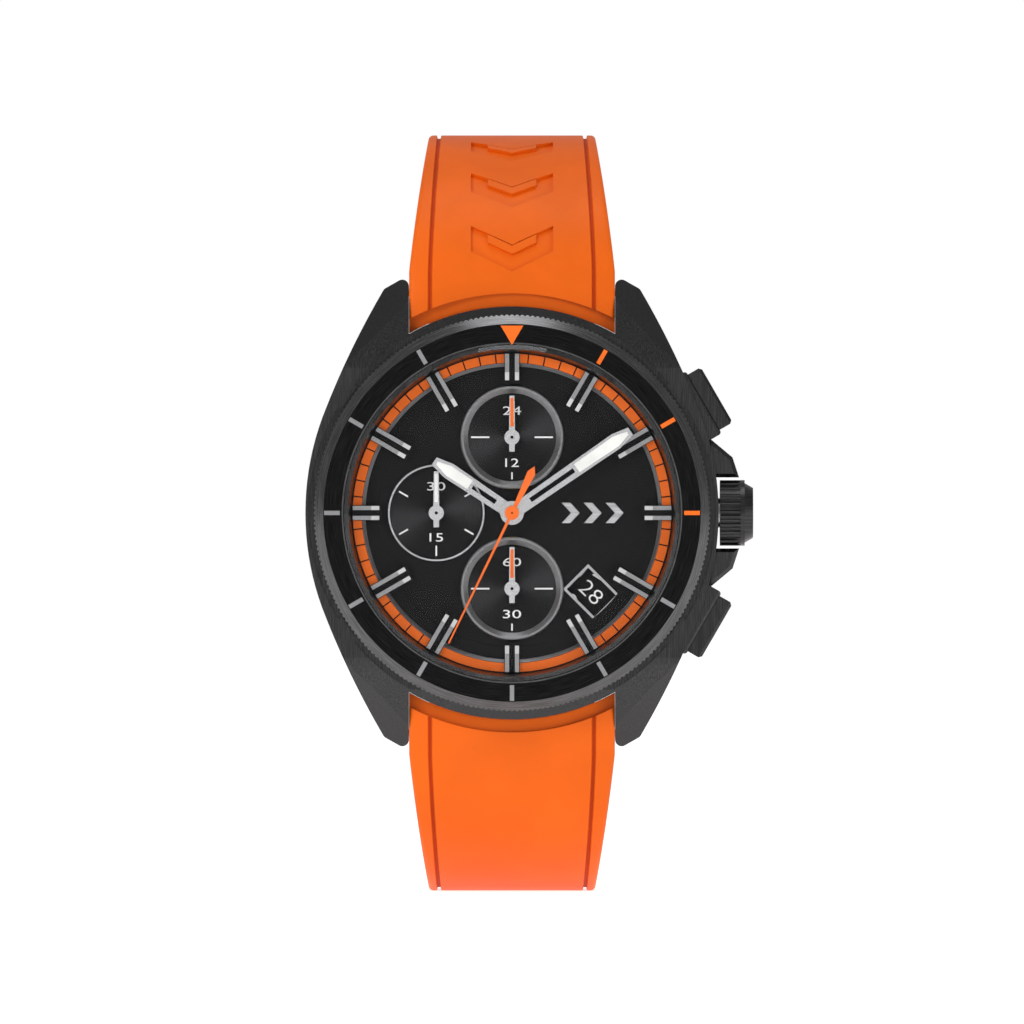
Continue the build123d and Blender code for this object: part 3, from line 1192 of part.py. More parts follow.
def movement():
    seconds_turn = mesh(SECONDS_HEADINGS[1], IDLER_TEETH, SECONDS_HEADINGS[1], PINION)
    chrono_turn = mesh(CHRONO_HEADINGS[1], IDLER_TEETH, CHRONO_HEADINGS[1], PINION)
    return {
        "movement_ring": movement_ring(), "main_plate": main_plate(),
        "train_bridge": train_bridge(),
        "circuit_board": group([circuit_board(), quartz_can(), circuit_chip()]),
        "movement_screws": movement_screws(), "calendar_plate": calendar_plate(),
        "battery": battery(), "battery_clamp": battery_clamp(),
        "motor_stators": group([stator(SECONDS_ROTOR_AT, *SECONDS_COIL),
                                stator(CHRONO_ROTOR_AT, *CHRONO_COIL)]),
        "motor_coils": group([coil(*SECONDS_COIL), coil(*CHRONO_COIL)]),
        "cannon_pinion": cannon_pinion(), "minute_wheel": minute_wheel(),
        "hour_wheel": hour_wheel(), "day_idler": day_idler(), "day_wheel": day_wheel(),
        "seconds_wheel": seconds_wheel(), "seconds_idler": seconds_idler(),
        "seconds_rotor": rotor(SECONDS_ROTOR_AT, seconds_turn, 2),
        "chrono_wheel": chrono_wheel(), "chrono_idler": chrono_idler(),
        "chrono_rotor": rotor(CHRONO_ROTOR_AT, chrono_turn, 1),
        "counter_idler": counter_idler(), "counter_wheel": counter_wheel(),
    }


def strap():
    half = LUG_GAP / 2 - 0.2
    return {
        "spring_bars": group([spring_bar(BAR_Y, BAR_Z, half), spring_bar(-BAR_Y, BAR_Z, half)]),
        "strap_upper": strap_upper(), "strap_lower": strap_lower(),
        "buckle_frame": buckle_frame(), "buckle_bar": buckle_bar(),
        "buckle_tongue": buckle_tongue(), "keeper_fixed": keeper(*KEEPER_FIXED),
        "keeper_free": keeper(*KEEPER_FREE),
    }


os.makedirs("parts", exist_ok=True)
pieces = {**housing(), **face(), **hands(), **movement(), **strap()}
for name, piece in pieces.items():
    export_step(UPRIGHT * piece, f"parts/{name}.step")
print(len(pieces), "nodes")
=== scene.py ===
"""The finished look of a chronograph wristwatch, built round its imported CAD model.

Each sub-assembly is a class that makes its own meshes and dresses them. Each finish is a small
frozen dataclass. Everything is in metres, in the model's frame: +Z to 12 o'clock, +X to the
crown, -Y out of the dial.
"""

import json
import logging
import math
from dataclasses import dataclass, field
from enum import Enum
from typing import Iterable, Sequence

import bmesh
import bpy
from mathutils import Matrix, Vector

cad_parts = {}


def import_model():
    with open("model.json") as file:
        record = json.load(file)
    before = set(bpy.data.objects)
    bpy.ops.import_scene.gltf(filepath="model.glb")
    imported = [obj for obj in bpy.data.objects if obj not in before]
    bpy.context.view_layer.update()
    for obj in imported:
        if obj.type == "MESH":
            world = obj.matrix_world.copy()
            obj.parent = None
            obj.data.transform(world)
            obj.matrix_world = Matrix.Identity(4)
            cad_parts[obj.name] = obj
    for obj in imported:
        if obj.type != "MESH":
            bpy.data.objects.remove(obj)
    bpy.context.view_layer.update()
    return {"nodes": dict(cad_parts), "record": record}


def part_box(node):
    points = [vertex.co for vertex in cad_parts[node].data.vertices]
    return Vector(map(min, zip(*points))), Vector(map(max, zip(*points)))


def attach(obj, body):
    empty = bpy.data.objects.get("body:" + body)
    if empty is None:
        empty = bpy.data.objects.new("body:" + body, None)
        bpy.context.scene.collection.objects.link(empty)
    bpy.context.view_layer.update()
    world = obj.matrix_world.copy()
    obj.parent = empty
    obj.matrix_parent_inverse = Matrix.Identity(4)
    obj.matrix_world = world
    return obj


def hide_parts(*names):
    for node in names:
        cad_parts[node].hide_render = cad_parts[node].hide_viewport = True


log = logging.getLogger("watch")
MM = 0.001
Point = tuple[float, float, float]
Spot = tuple[float, float]
Colour = tuple[float, float, float]


# ---------------------------------------------------------------------------- shader maths
class Wire:
    """One shader socket, with the arithmetic that makes Math nodes."""

    def __init__(self, graph: "Graph", socket: bpy.types.NodeSocket) -> None:
        """Keep the socket and the graph that it belongs to."""
        self.graph = graph
        self.socket = socket

    def _maths(self, operation: str, *values: "Wire | float") -> "Wire":
        """Add one Math node and return its result."""
        return self.graph.node("ShaderNodeMath", {"operation": operation}, dict(enumerate(values)))

    def __add__(self, other: "Wire | float") -> "Wire":
        """Sum."""
        return self._maths("ADD", self, other)

    def __sub__(self, other: "Wire | float") -> "Wire":
        """Difference."""
        return self._maths("SUBTRACT", self, other)

    def __rsub__(self, other: float) -> "Wire":
        """Difference, number first."""
        return self._maths("SUBTRACT", other, self)

    def __mul__(self, other: "Wire | float") -> "Wire":
        """Product."""
        return self._maths("MULTIPLY", self, other)

    def __pow__(self, other: float) -> "Wire":
        """Power."""
        return self._maths("POWER", self, other)

    def __gt__(self, other: "Wire | float") -> "Wire":
        """1 where this is greater."""
        return self._maths("GREATER_THAN", self, other)

    def __lt__(self, other: "Wire | float") -> "Wire":
        """1 where this is smaller."""
        return self._maths("LESS_THAN", self, other)

    def minimum(self, other: "Wire | float") -> "Wire":
        """The smaller of two."""
        return self._maths("MINIMUM", self, other)

    def absolute(self) -> "Wire":
        """Size without sign."""
        return self._maths("ABSOLUTE", self)

    def sine(self) -> "Wire":
        """Sine of an angle in radians."""
        return self._maths("SINE", self)

    def angle_to(self, other: "Wire") -> "Wire":
        """The angle whose tangent is this over the other."""
        return self._maths("ARCTAN2", self, other)

    def root(self) -> "Wire":
        """Square root."""
        return self._maths("SQRT", self)

    def smooth(self, low: float, high: float) -> "Wire":
        """0 below one value, 1 above another, smooth between."""
        return self.graph.node(
            "ShaderNodeMapRange",
            {"interpolation_type": "SMOOTHSTEP"},
            {"Value": self, "From Min": low, "From Max": high, "To Min": 0.0, "To Max": 1.0},
        )


class Graph:
    """The node tree of one material, built by calls."""

    def __init__(self, name: str) -> None:
        """Start a material with a single Principled shader."""
        self.material = bpy.data.materials.new(name)
        self.material.use_nodes = True
        self.tree = self.material.node_tree
        self.tree.nodes.clear()
        self.output = self.tree.nodes.new("ShaderNodeOutputMaterial")
        self.shader = self.tree.nodes.new("ShaderNodeBsdfPrincipled")
        self.tree.links.new(self.shader.outputs["BSDF"], self.output.inputs["Surface"])

    def node(
        self,
        kind: str,
        settings: dict[str, object] | None = None,
        values: dict[object, object] | None = None,
        output: int | str = 0,
    ) -> Wire:
        """Add any node.

        Args:
            kind: The node's type name.
            settings: Properties set before anything is connected.
            values: Numbers, vectors or wires, by socket name or number.
            output: The output socket to return.

        Returns:
            The chosen output, wrapped.
        """
        node = self.tree.nodes.new(kind)
        for key, value in (settings or {}).items():
            setattr(node, key, value)
        for key, value in (values or {}).items():
            self.plug(node.inputs[key], value)
        return Wire(self, node.outputs[output])

    def plug(self, socket: bpy.types.NodeSocket, value: object) -> None:
        """Link a wire to a socket, or set the socket's own value."""
        if isinstance(value, Wire):
            self.tree.links.new(value.socket, socket)
            return
        if isinstance(value, (tuple, list)) and socket.type == "RGBA" and len(value) == 3:
            value = (*value, 1.0)
        socket.default_value = value

    def place(self) -> Wire:
        """Object coordinates, which are the model's own metres."""
        return self.node("ShaderNodeTexCoord", output="Object")

    def axes(self, place: Wire | None = None) -> tuple[Wire, Wire, Wire]:
        """The X, Y and Z of a place."""
        parts = self.tree.nodes.new("ShaderNodeSeparateXYZ")
        self.plug(parts.inputs[0], place or self.place())
        return tuple(Wire(self, socket) for socket in parts.outputs)

    def noise(self, size: float, detail: float = 3.0, place: Wire | None = None) -> Wire:
        """Even-valued noise whose blotches are about a size in metres across."""
        return self.node(
            "ShaderNodeTexNoise",
            {"noise_dimensions": "3D"},
            {"Vector": place or self.place(), "Scale": 1.0 / size, "Detail": detail},
        )

    def stretched(self, scale: Point) -> Wire:
        """Object coordinates stretched along the axes."""
        return self.node("ShaderNodeMapping", {}, {"Vector": self.place(), "Scale": scale})

    def mix(self, factor: Wire | float, first: object, second: object) -> Wire:
        """A colour between two others."""
        node = self.tree.nodes.new("ShaderNodeMix")
        node.data_type = "RGBA"
        self.plug(node.inputs["Factor"], factor)
        self.plug(node.inputs[6], first)
        self.plug(node.inputs[7], second)
        return Wire(self, node.outputs[2])

    def bump(self, height: Wire, strength: float, distance: float, after: Wire | None = None) -> Wire:
        """A Bump node over a height pattern."""
        values: dict[object, object] = {"Height": height, "Strength": strength, "Distance": distance}
        if after is not None:
            values["Normal"] = after
        return self.node("ShaderNodeBump", {}, values)

    def set(self, **sockets: object) -> "Graph":
        """Set or link the shader's sockets, with underscores for spaces."""
        for name, value in sockets.items():
            self.plug(self.shader.inputs[name.replace("_", " ")], value)
        return self


# ---------------------------------------------------------------------------- finishes
@dataclass(frozen=True)
class Finish:
    """The base of every finish: a name and a colour."""

    name: str
    colour: Colour

    def build(self) -> bpy.types.Material:
        """Make the material."""
        raise NotImplementedError


class Grain(Enum):
    """The direction in which a metal is brushed."""

    ALONG_X = "along_x"
    ALONG_Y = "along_y"
    ALONG_Z = "along_z"
    CIRCLES = "circles"
    RAYS = "rays"
    NONE = "none"


@dataclass(frozen=True)
class CoatedSteel(Finish):
    """Metal that is brushed in one direction, bare or under a thin dark coating."""

    grain: Grain = Grain.NONE
    roughness: float = 0.34
    line: float = 0.045
    depth: float = 0.25
    centre: Spot = (0.0, 0.0)
    metallic: float = 1.0

    def _lines(self, graph: Graph) -> Wire:
        """Noise drawn out along the brushing."""
        fine = 1.0 / (self.line * MM)
        long = fine / 60.0
        scales = {
            Grain.ALONG_X: (long, fine, fine),
            Grain.ALONG_Y: (fine, long, fine),
            Grain.ALONG_Z: (fine, fine, long),
            Grain.NONE: (fine, fine, fine),
        }
        if self.grain in scales:
            place = graph.stretched(scales[self.grain])
        else:
            x, y, z = graph.axes()
            x, z = x - self.centre[0], z - self.centre[1]
            radius = (x * x + z * z).root()
            turn = z.angle_to(x)
            if self.grain is Grain.CIRCLES:
                first, second = radius * fine, turn * (0.02 * long)
            else:
                first, second = radius * long, turn * (0.02 * fine)
            place = graph.node("ShaderNodeCombineXYZ", {}, {0: first, 1: second, 2: y * long})
        return graph.node(
            "ShaderNodeTexNoise", {"noise_dimensions": "3D"}, {"Vector": place, "Scale": 1.0, "Detail": 2.0}
        )

    def build(self) -> bpy.types.Material:
        """Make the material.

        Returns:
            A metal whose colour, roughness and bump follow the brushing.
        """
        graph = Graph(self.name)
        lines = self._lines(graph)
        cloud = graph.noise(4 * MM)
        pale = tuple(min(1.0, c * 1.7 + 0.008) for c in self.colour)
        base = graph.mix(lines.smooth(0.35, 0.75), self.colour, pale)
        rough = (lines - 0.5) * 0.22 + (cloud - 0.5) * 0.10 + self.roughness
        graph.set(
            Base_Color=base,
            Metallic=self.metallic,
            Roughness=rough,
            Normal=graph.bump(lines, self.depth, 0.012 * MM),
        )
        return graph.material


@dataclass(frozen=True)
class Paint(Finish):
    """Matt lacquer or print, with a fine grain."""

    roughness: float = 0.55
    grain: float = 0.06
    depth: float = 0.12
    shine: float = 0.25

    def build(self) -> bpy.types.Material:
        """Make the material.

        Returns:
            A dielectric with a clouded colour and a grain in its bump.
        """
        graph = Graph(self.name)
        grain = graph.noise(self.grain * MM)
        cloud = graph.noise(3 * MM)
        dark = tuple(c * 0.86 for c in self.colour)
        graph.set(
            Base_Color=graph.mix(cloud.smooth(0.3, 0.7), dark, self.colour),
            Roughness=(grain - 0.5) * 0.15 + self.roughness,
            Normal=graph.bump(grain, self.depth, 0.01 * MM),
            Specular_IOR_Level=self.shine,
        )
        return graph.material


@dataclass(frozen=True)
class Silicone(Finish):
    """Soft moulded rubber: matt, faintly clouded, with the mould's fine texture."""

    roughness: float = 0.46

    def build(self) -> bpy.types.Material:
        """Make the material.

        Returns:
            A rubber with drawn-out flow marks and a powdery bump.
        """
        graph = Graph(self.name)
        powder = graph.noise(0.09 * MM, 4.0)
        flow = graph.node(
            "ShaderNodeTexNoise",
            {},
            {"Vector": graph.stretched((90, 320, 320)), "Scale": 1.0, "Detail": 2.0},
        )
        cloud = graph.noise(7 * MM)
        deep = tuple(c * 0.9 for c in self.colour)
        base = graph.mix(cloud.smooth(0.3, 0.7), deep, self.colour)
        rough = (powder - 0.5) * 0.14 + (flow - 0.5) * 0.08 + self.roughness
        height = powder + flow * 0.6
        graph.set(
            Base_Color=base,
            Roughness=rough,
            Normal=graph.bump(height, 0.10, 0.02 * MM),
            Specular_IOR_Level=0.16,
            Sheen_Weight=0.03,
            Sheen_Roughness=0.4,
        )
        return graph.material


@dataclass(frozen=True)
class Crystal(Finish):
    """Flat mineral glass with a coating that keeps reflections faint, except on its ground edge."""

    edge: float = 0.02

    def build(self) -> bpy.types.Material:
        """Make the material.

        Returns:
            A clear sheet that mirrors a little, and more on its slanted rim.
        """
        graph = Graph(self.name)
        shine = graph.node("ShaderNodeFresnel", {}, {"IOR": 1.5})
        _, facing, _ = graph.axes(graph.node("ShaderNodeNewGeometry", output="Normal"))
        slant = 1 - facing.absolute().smooth(0.8, 0.95)
        smear = graph.noise(6 * MM)
        graph.set(
            Base_Color=self.colour,
            Metallic=1.0,
            Roughness=(smear - 0.5) * 0.03 + 0.05,
            Alpha=(shine * 0.1 + slant * self.edge).minimum(1.0),
        )
        return graph.material


@dataclass(frozen=True)
class DialPaint(Finish):
    """The dial's matt black, with turned grooves in each sub-dial and a step near the rim; the sub-dials'
    colour carries painted shade in the groove valleys, painted highlight on the crests and a painted
    highlight in two bright sectors.
    """

    places: tuple[Point, ...] = ()  # each sub-dial's centre and radius, in watch millimetres
    pitch: float = 0.17
    step: float = 14.3
    # the turn of the two bright sectors of the painted highlight, in radians
    fan: float = 1.05

    def build(self) -> bpy.types.Material:
        """Make the material.

        Returns:
            A dark lacquer whose bump holds the turned grooves and the step, and whose colour holds painted
            shade and highlight along the grooves and the painted highlight of the sub-dials' bright sectors.
        """
        graph = Graph(self.name)
        x, _, z = graph.axes()
        grooves: Wire | None = None
        inside: Wire | None = None
        painted_highlight: Wire | None = None
        for px, py, radius in self.places:
            dx, dz = x - px * MM, z - py * MM
            far = (dx * dx + dz * dz).root()
            here = far < radius * MM
            wave = (far * (2 * math.pi / (self.pitch * MM))).sine() * here
            grooves = wave if grooves is None else grooves + wave
            inside = here if inside is None else inside + here
            # painted highlight: two opposite sectors of each sub-dial made lighter by angle, as a sheen on
            # the turned grooves
            fan = ((dz.angle_to(dx) * 2 + self.fan).sine() * 0.5 + 0.5) ** 4 * here
            painted_highlight = fan if painted_highlight is None else painted_highlight + fan
        middle = (x * x + z * z).root()
        step = middle.smooth((self.step - 0.06) * MM, (self.step + 0.06) * MM)
        turn = z.angle_to(x)
        rays = graph.node(
            "ShaderNodeTexNoise",
            {"noise_dimensions": "1D"},
            {"W": turn * 60, "Scale": 1.0, "Detail": 3.0},
        )
        grain = graph.noise(0.05 * MM)
        pale = tuple(c * 1.9 for c in self.colour)
        deep = tuple(c * 0.55 for c in self.colour)
        base = graph.mix(rays.smooth(0.35, 0.8) * 0.45, self.colour, pale)
        # painted shade and highlight: the sub-dial colour is darker in each groove's valley and lighter on
        # its crest, in step with the bump
        shown = graph.mix(grooves * 0.5 + 0.5, deep, pale)
        # the painted highlight's colour, seven times the lacquer
        painted_highlight_colour = tuple(c * 7 for c in self.colour)
        shown = graph.mix(painted_highlight * (grooves * 0.35 + 0.65), shown, painted_highlight_colour)
        base = graph.mix(inside.minimum(1.0), base, shown)
        cut = graph.bump(grooves, 0.35, 0.012 * MM)
        edge = graph.bump(step, 0.8, 0.06 * MM, cut)
        graph.set(
            Base_Color=base,
            Roughness=(grain - 0.5) * 0.1 + 0.46,
            Normal=graph.bump(grain, 0.1, 0.006 * MM, edge),
            Specular_IOR_Level=0.09,
        )
        return graph.material


@dataclass(frozen=True)
class ChapterPaint(Finish):
    """The ring round the dial: matt black with a bright turned line along its inner chamfer."""

    metal: Colour = (0.30, 0.30, 0.31)
    inner: float = 15.68
    outer: float = 16.02
    top: float = 7.65

    def build(self) -> bpy.types.Material:
        """Make the material.

        Returns:
            A lacquer that turns to bare metal between two radii.
        """
        graph = Graph(self.name)
        x, y, z = graph.axes()
        radius = (x * x + z * z).root()
        bare = (radius > self.inner * MM) * (radius < self.outer * MM) * (y > -self.top * MM)
        grain = graph.noise(0.05 * MM)
        graph.set(
            Base_Color=graph.mix(bare, self.colour, self.metal),
            Metallic=bare,
            Roughness=(grain - 0.5) * 0.1 + 0.5 - bare * 0.2,
            Normal=graph.bump(grain, 0.12, 0.006 * MM),
            Specular_IOR_Level=0.09,
        )
        return graph.material


@dataclass(frozen=True)
class Winding(Finish):
    """Enamelled wire laid side by side."""

    pitch: float = 0.12

    def build(self) -> bpy.types.Material:
        """Make the material.

        Returns:
            Copper with a ridge for each turn, its colour painted darker between the turns as shade.
        """
        graph = Graph(self.name)
        x, y, z = graph.axes()
        ridge = ((x + y * 0.6 + z * 0.8) * (2 * math.pi / (self.pitch * MM))).sine()
        # painted shade: the copper darkens where the ridge is low, between the turns
        dark = tuple(c * 0.6 for c in self.colour)
        graph.set(
            Base_Color=graph.mix(ridge * 0.5 + 0.5, dark, self.colour),
            Metallic=0.9,
            Roughness=ridge * 0.08 + 0.4,
            Normal=graph.bump(ridge, 0.6, 0.02 * MM),
        )
        return graph.material


def steel(
    name: str, grey: float, grain: Grain = Grain.NONE, roughness: float = 0.34, **more: object
) -> CoatedSteel:
    """A neutral metal.

    Args:
        name: The finish's name, which is its material slot.
        grey: Its reflectance.
        grain: The brushing's direction.
        roughness: Its average roughness.
        more: Any other field of the finish.

    Returns:
        The finish.
    """
    return CoatedSteel(name, (grey, grey, grey * 1.02), grain, roughness, **more)


SUBDIALS = ((0.0, 8.1, 4.71), (-8.1, 0.0, 4.94), (0.0, -8.1, 4.71))
ORANGE: Colour = (0.90, 0.150, 0.010)
FINISHES: tuple[Finish, ...] = (
    steel("case_black", 0.036, Grain.ALONG_Z, 0.30, depth=0.15),
    steel("case_back_steel", 0.05, Grain.CIRCLES, 0.32),
    steel("bezel_black", 0.075, Grain.CIRCLES, 0.26, depth=0.15),
    steel("insert_black", 0.007, Grain.CIRCLES, 0.30, depth=0.2),
    Crystal("glass", (0.9, 0.93, 0.96)),
    Silicone("seal_rubber", (0.02, 0.02, 0.02)),
    steel("crown_black", 0.03, Grain.RAYS, 0.34),
    steel("pusher_black", 0.03, Grain.ALONG_Z, 0.34),
    steel("plain_steel", 0.55, Grain.ALONG_X, 0.3),
    DialPaint("dial_black", (0.0065, 0.0065, 0.0068), places=SUBDIALS),
    steel("ring_black", 0.20, Grain.NONE, 0.3),
    ChapterPaint("chapter_black", (0.006, 0.006, 0.0062)),
    steel("bar_steel", 0.25, Grain.NONE, 0.32),
    steel("date_frame_steel", 0.34, Grain.NONE, 0.5),
    Paint("date_black", (0.006, 0.006, 0.006), roughness=0.6, shine=0.1),
    steel("hand_silver", 0.44, Grain.NONE, 0.27, line=0.03),
    Paint("hand_orange", ORANGE, roughness=0.35, shine=0.4),
    steel("hand_small", 0.46, Grain.NONE, 0.28, line=0.03),
    Paint("movement_plastic", (0.62, 0.62, 0.58), roughness=0.5),
    CoatedSteel("plate_nickel", (0.62, 0.58, 0.5), Grain.ALONG_X, 0.3),
    Paint("board_green", (0.01, 0.12, 0.05), roughness=0.35),
    steel("cell_steel", 0.62, Grain.CIRCLES, 0.26),
    steel("soft_iron", 0.3, Grain.ALONG_X, 0.42),
    Winding("coil_copper", (0.6, 0.2, 0.07)),
    CoatedSteel("wheel_brass", (0.72, 0.5, 0.16), Grain.RAYS, 0.28),
    Silicone("strap_orange", (0.78, 0.120, 0.002)),
    Silicone("keeper_orange", (0.78, 0.120, 0.002)),
    steel("buckle_black", 0.03, Grain.ALONG_X, 0.34),
)
# painted shade: a darker orange for the floor of the strap's groove, where shade falls
GROOVE_SHADE = Silicone("groove_orange", (0.50, 0.055, 0.002), roughness=0.6)


class Ink(Enum):
    """The printing inks, by finish name."""

    WHITE = "ink_white"
    GREY = "ink_grey"
    ORANGE = "ink_orange"
    LUME = "lume_white"
    TIP = "tip_grey"
    SILVER = "emblem_silver"


INKS: tuple[Finish, ...] = (
    Paint(Ink.WHITE.value, (0.82, 0.82, 0.81), roughness=0.5, shine=0.3),
    Paint(Ink.GREY.value, (0.25, 0.25, 0.26), roughness=0.45, shine=0.3),
    Paint(Ink.ORANGE.value, (0.86, 0.150, 0.010), roughness=0.5, shine=0.2),
    Paint(Ink.LUME.value, (0.86, 0.87, 0.84), roughness=0.62, grain=0.04, depth=0.3),
    Paint(Ink.TIP.value, (0.62, 0.62, 0.62), roughness=0.4, shine=0.5),
    steel(Ink.SILVER.value, 0.42, Grain.ALONG_X, 0.32),
)


# ---------------------------------------------------------------------------- shapes
def at(x: float, y: float, height: float) -> Point:
    """A point in the model's metres from watch millimetres: x to the crown, y to 12, height."""
    return x * MM, -height * MM, y * MM


def polar(radius: float, degrees: float) -> Spot:
    """The x and y at a distance and an angle from the watch's axis."""
    return radius * math.cos(math.radians(degrees)), radius * math.sin(math.radians(degrees))


def turned(outline: Sequence[Spot], degrees: float) -> list[Spot]:
    """An outline turned about the watch's axis."""
    c, s = math.cos(math.radians(degrees)), math.sin(math.radians(degrees))
    return [(x * c - y * s, x * s + y * c) for x, y in outline]


def inset(outline: Sequence[Spot], by: float) -> list[Spot]:
    """A closed outline moved inwards by a distance, corner by corner."""
    found = []
    count = len(outline)
    for k in range(count):
        (ax, ay), (bx, by_), (cx, cy) = outline[k - 1], outline[k], outline[(k + 1) % count]
        first, second = Vector((bx - ax, by_ - ay)).normalized(), Vector((cx - bx, cy - by_)).normalized()
        normal = Vector((-first.y - second.y, first.x + second.x))
        if normal.length < 1e-9:
            normal = Vector((-first.y, first.x))
        normal.normalize()
        lean = max(0.35, normal.dot(Vector((-first.y, first.x))))
        found.append((bx + normal.x * by / lean, by_ + normal.y * by / lean))
    return found


class Moulding:
    """A mesh that is put together in watch millimetres."""

    def __init__(self) -> None:
        """Start with nothing."""
        self.points: list[Point] = []
        self.faces: list[tuple[list[int], int]] = []

    def add(self, points: Iterable[Point], faces: Iterable[Sequence[int]], slot: int = 0) -> None:
        """Add points, and faces that count from the first of them."""
        first = len(self.points)
        self.points.extend(points)
        self.faces.extend(([first + k for k in face], slot) for face in faces)

    def layers(self, rings: Sequence[Sequence[Point]], slot: int = 0, closed: bool = False) -> None:
        """Join rings of points by quads, and cap the ends unless the rings close on themselves."""
        count, size = len(rings), len(rings[0])
        faces = []
        for a in range(count if closed else count - 1):
            b = (a + 1) % count
            for k in range(size):
                n = (k + 1) % size
                faces.append((a * size + k, a * size + n, b * size + n, b * size + k))
        if not closed:
            faces.append(tuple(reversed(range(size))))
            faces.append(tuple((count - 1) * size + k for k in range(size)))
        self.add([p for ring in rings for p in ring], faces, slot)

    def prism(
        self, outline: Sequence[Spot], low: float, high: float, edge: float = 0.0, slot: int = 0
    ) -> "Moulding":
        """Add a flat plate with an eased upper edge.

        Args:
            outline: Corners, anticlockwise from the front.
            low: Its underside.
            high: Its top.
            edge: The width of the eased edge.
            slot: The material's number.

        Returns:
            This moulding.
        """
        rings = [[at(x, y, low) for x, y in outline]]
        if edge > 0:
            rings.append([at(x, y, high - edge) for x, y in outline])
            rings.append([at(x, y, high) for x, y in inset(outline, edge)])
        else:
            rings.append([at(x, y, high) for x, y in outline])
        self.layers(rings, slot)
        return self

    def lathe(
        self, section: Sequence[Spot], steps: int = 192, centre: Spot = (0.0, 0.0)
    ) -> "Moulding":
        """Add a solid of revolution from a closed section of radius and height."""
        rings = []
        for k in range(steps):
            c, s = math.cos(2 * math.pi * k / steps), math.sin(2 * math.pi * k / steps)
            rings.append([at(centre[0] + r * c, centre[1] + r * s, h) for r, h in section])
        self.layers(rings, closed=True)
        return self

    def piece(self, name: str, *materials: bpy.types.Material, angle: float = 32.0) -> bpy.types.Object:
        """Finish the mesh.

        Args:
            name: The object's name.
            materials: Its materials, in the order of the slot numbers.
            angle: Edges sharper than this stay sharp.

        Returns:
            The object, at the origin.
        """
        mesh = bpy.data.meshes.new(name)
        mesh.from_pydata(self.points, [], [face for face, _ in self.faces])
        for polygon, (_, slot) in zip(mesh.polygons, self.faces):
            polygon.material_index = slot
        for material in materials:
            mesh.materials.append(material)
        work = bmesh.new()
        work.from_mesh(mesh)
        bmesh.ops.recalc_face_normals(work, faces=work.faces)
        work.to_mesh(mesh)
        work.free()
        soften(mesh, angle)
        thing = bpy.data.objects.new(name, mesh)
        bpy.context.scene.collection.objects.link(thing)
        return thing


def soften(mesh: bpy.types.Mesh, angle: float) -> None:
    """Shade a mesh smooth, with the edges over an angle in degrees kept sharp."""
    work = bmesh.new()
    work.from_mesh(mesh)
    for face in work.faces:
        face.smooth = True
    for edge in work.edges:
        edge.smooth = len(edge.link_faces) == 2 and edge.calc_face_angle(0.0) < math.radians(angle)
    work.to_mesh(mesh)
    work.free()


def settle(host: bpy.types.Object, name: str) -> bpy.types.Object:
    """Turn an object with modifiers into a plain mesh object, and remove the first."""
    bpy.context.view_layer.update()
    graph = bpy.context.evaluated_depsgraph_get()
    mesh = bpy.data.meshes.new_from_object(host.evaluated_get(graph))
    host.modifiers.clear()
    bpy.data.objects.remove(host)
    mesh.name = name
    made = bpy.data.objects.new(name, mesh)
    bpy.context.scene.collection.objects.link(made)
    return made


def carve(body: bpy.types.Object, cutter: bpy.types.Object) -> bpy.types.Object:
    """Take one solid away from another, and remove the cutter."""
    cut = body.modifiers.new("cut", "BOOLEAN")
    cut.operation, cut.solver, cut.object = "DIFFERENCE", "EXACT", cutter
    name = body.name
    body.name = name + "_raw"
    made = settle(body, name)
    bpy.data.objects.remove(cutter)
    return made


def joined(name: str, meshes: Iterable[bpy.types.Mesh], material: bpy.types.Material) -> bpy.types.Object:
    """One object from several meshes, with one material."""
    work = bmesh.new()
    for mesh in meshes:
        work.from_mesh(mesh)
        bpy.data.meshes.remove(mesh)
    whole = bpy.data.meshes.new(name)
    for face in work.faces:
        face.material_index = 0
    work.to_mesh(whole)
    work.free()
    whole.materials.append(material)
    made = bpy.data.objects.new(name, whole)
    bpy.context.scene.collection.objects.link(made)
    return made


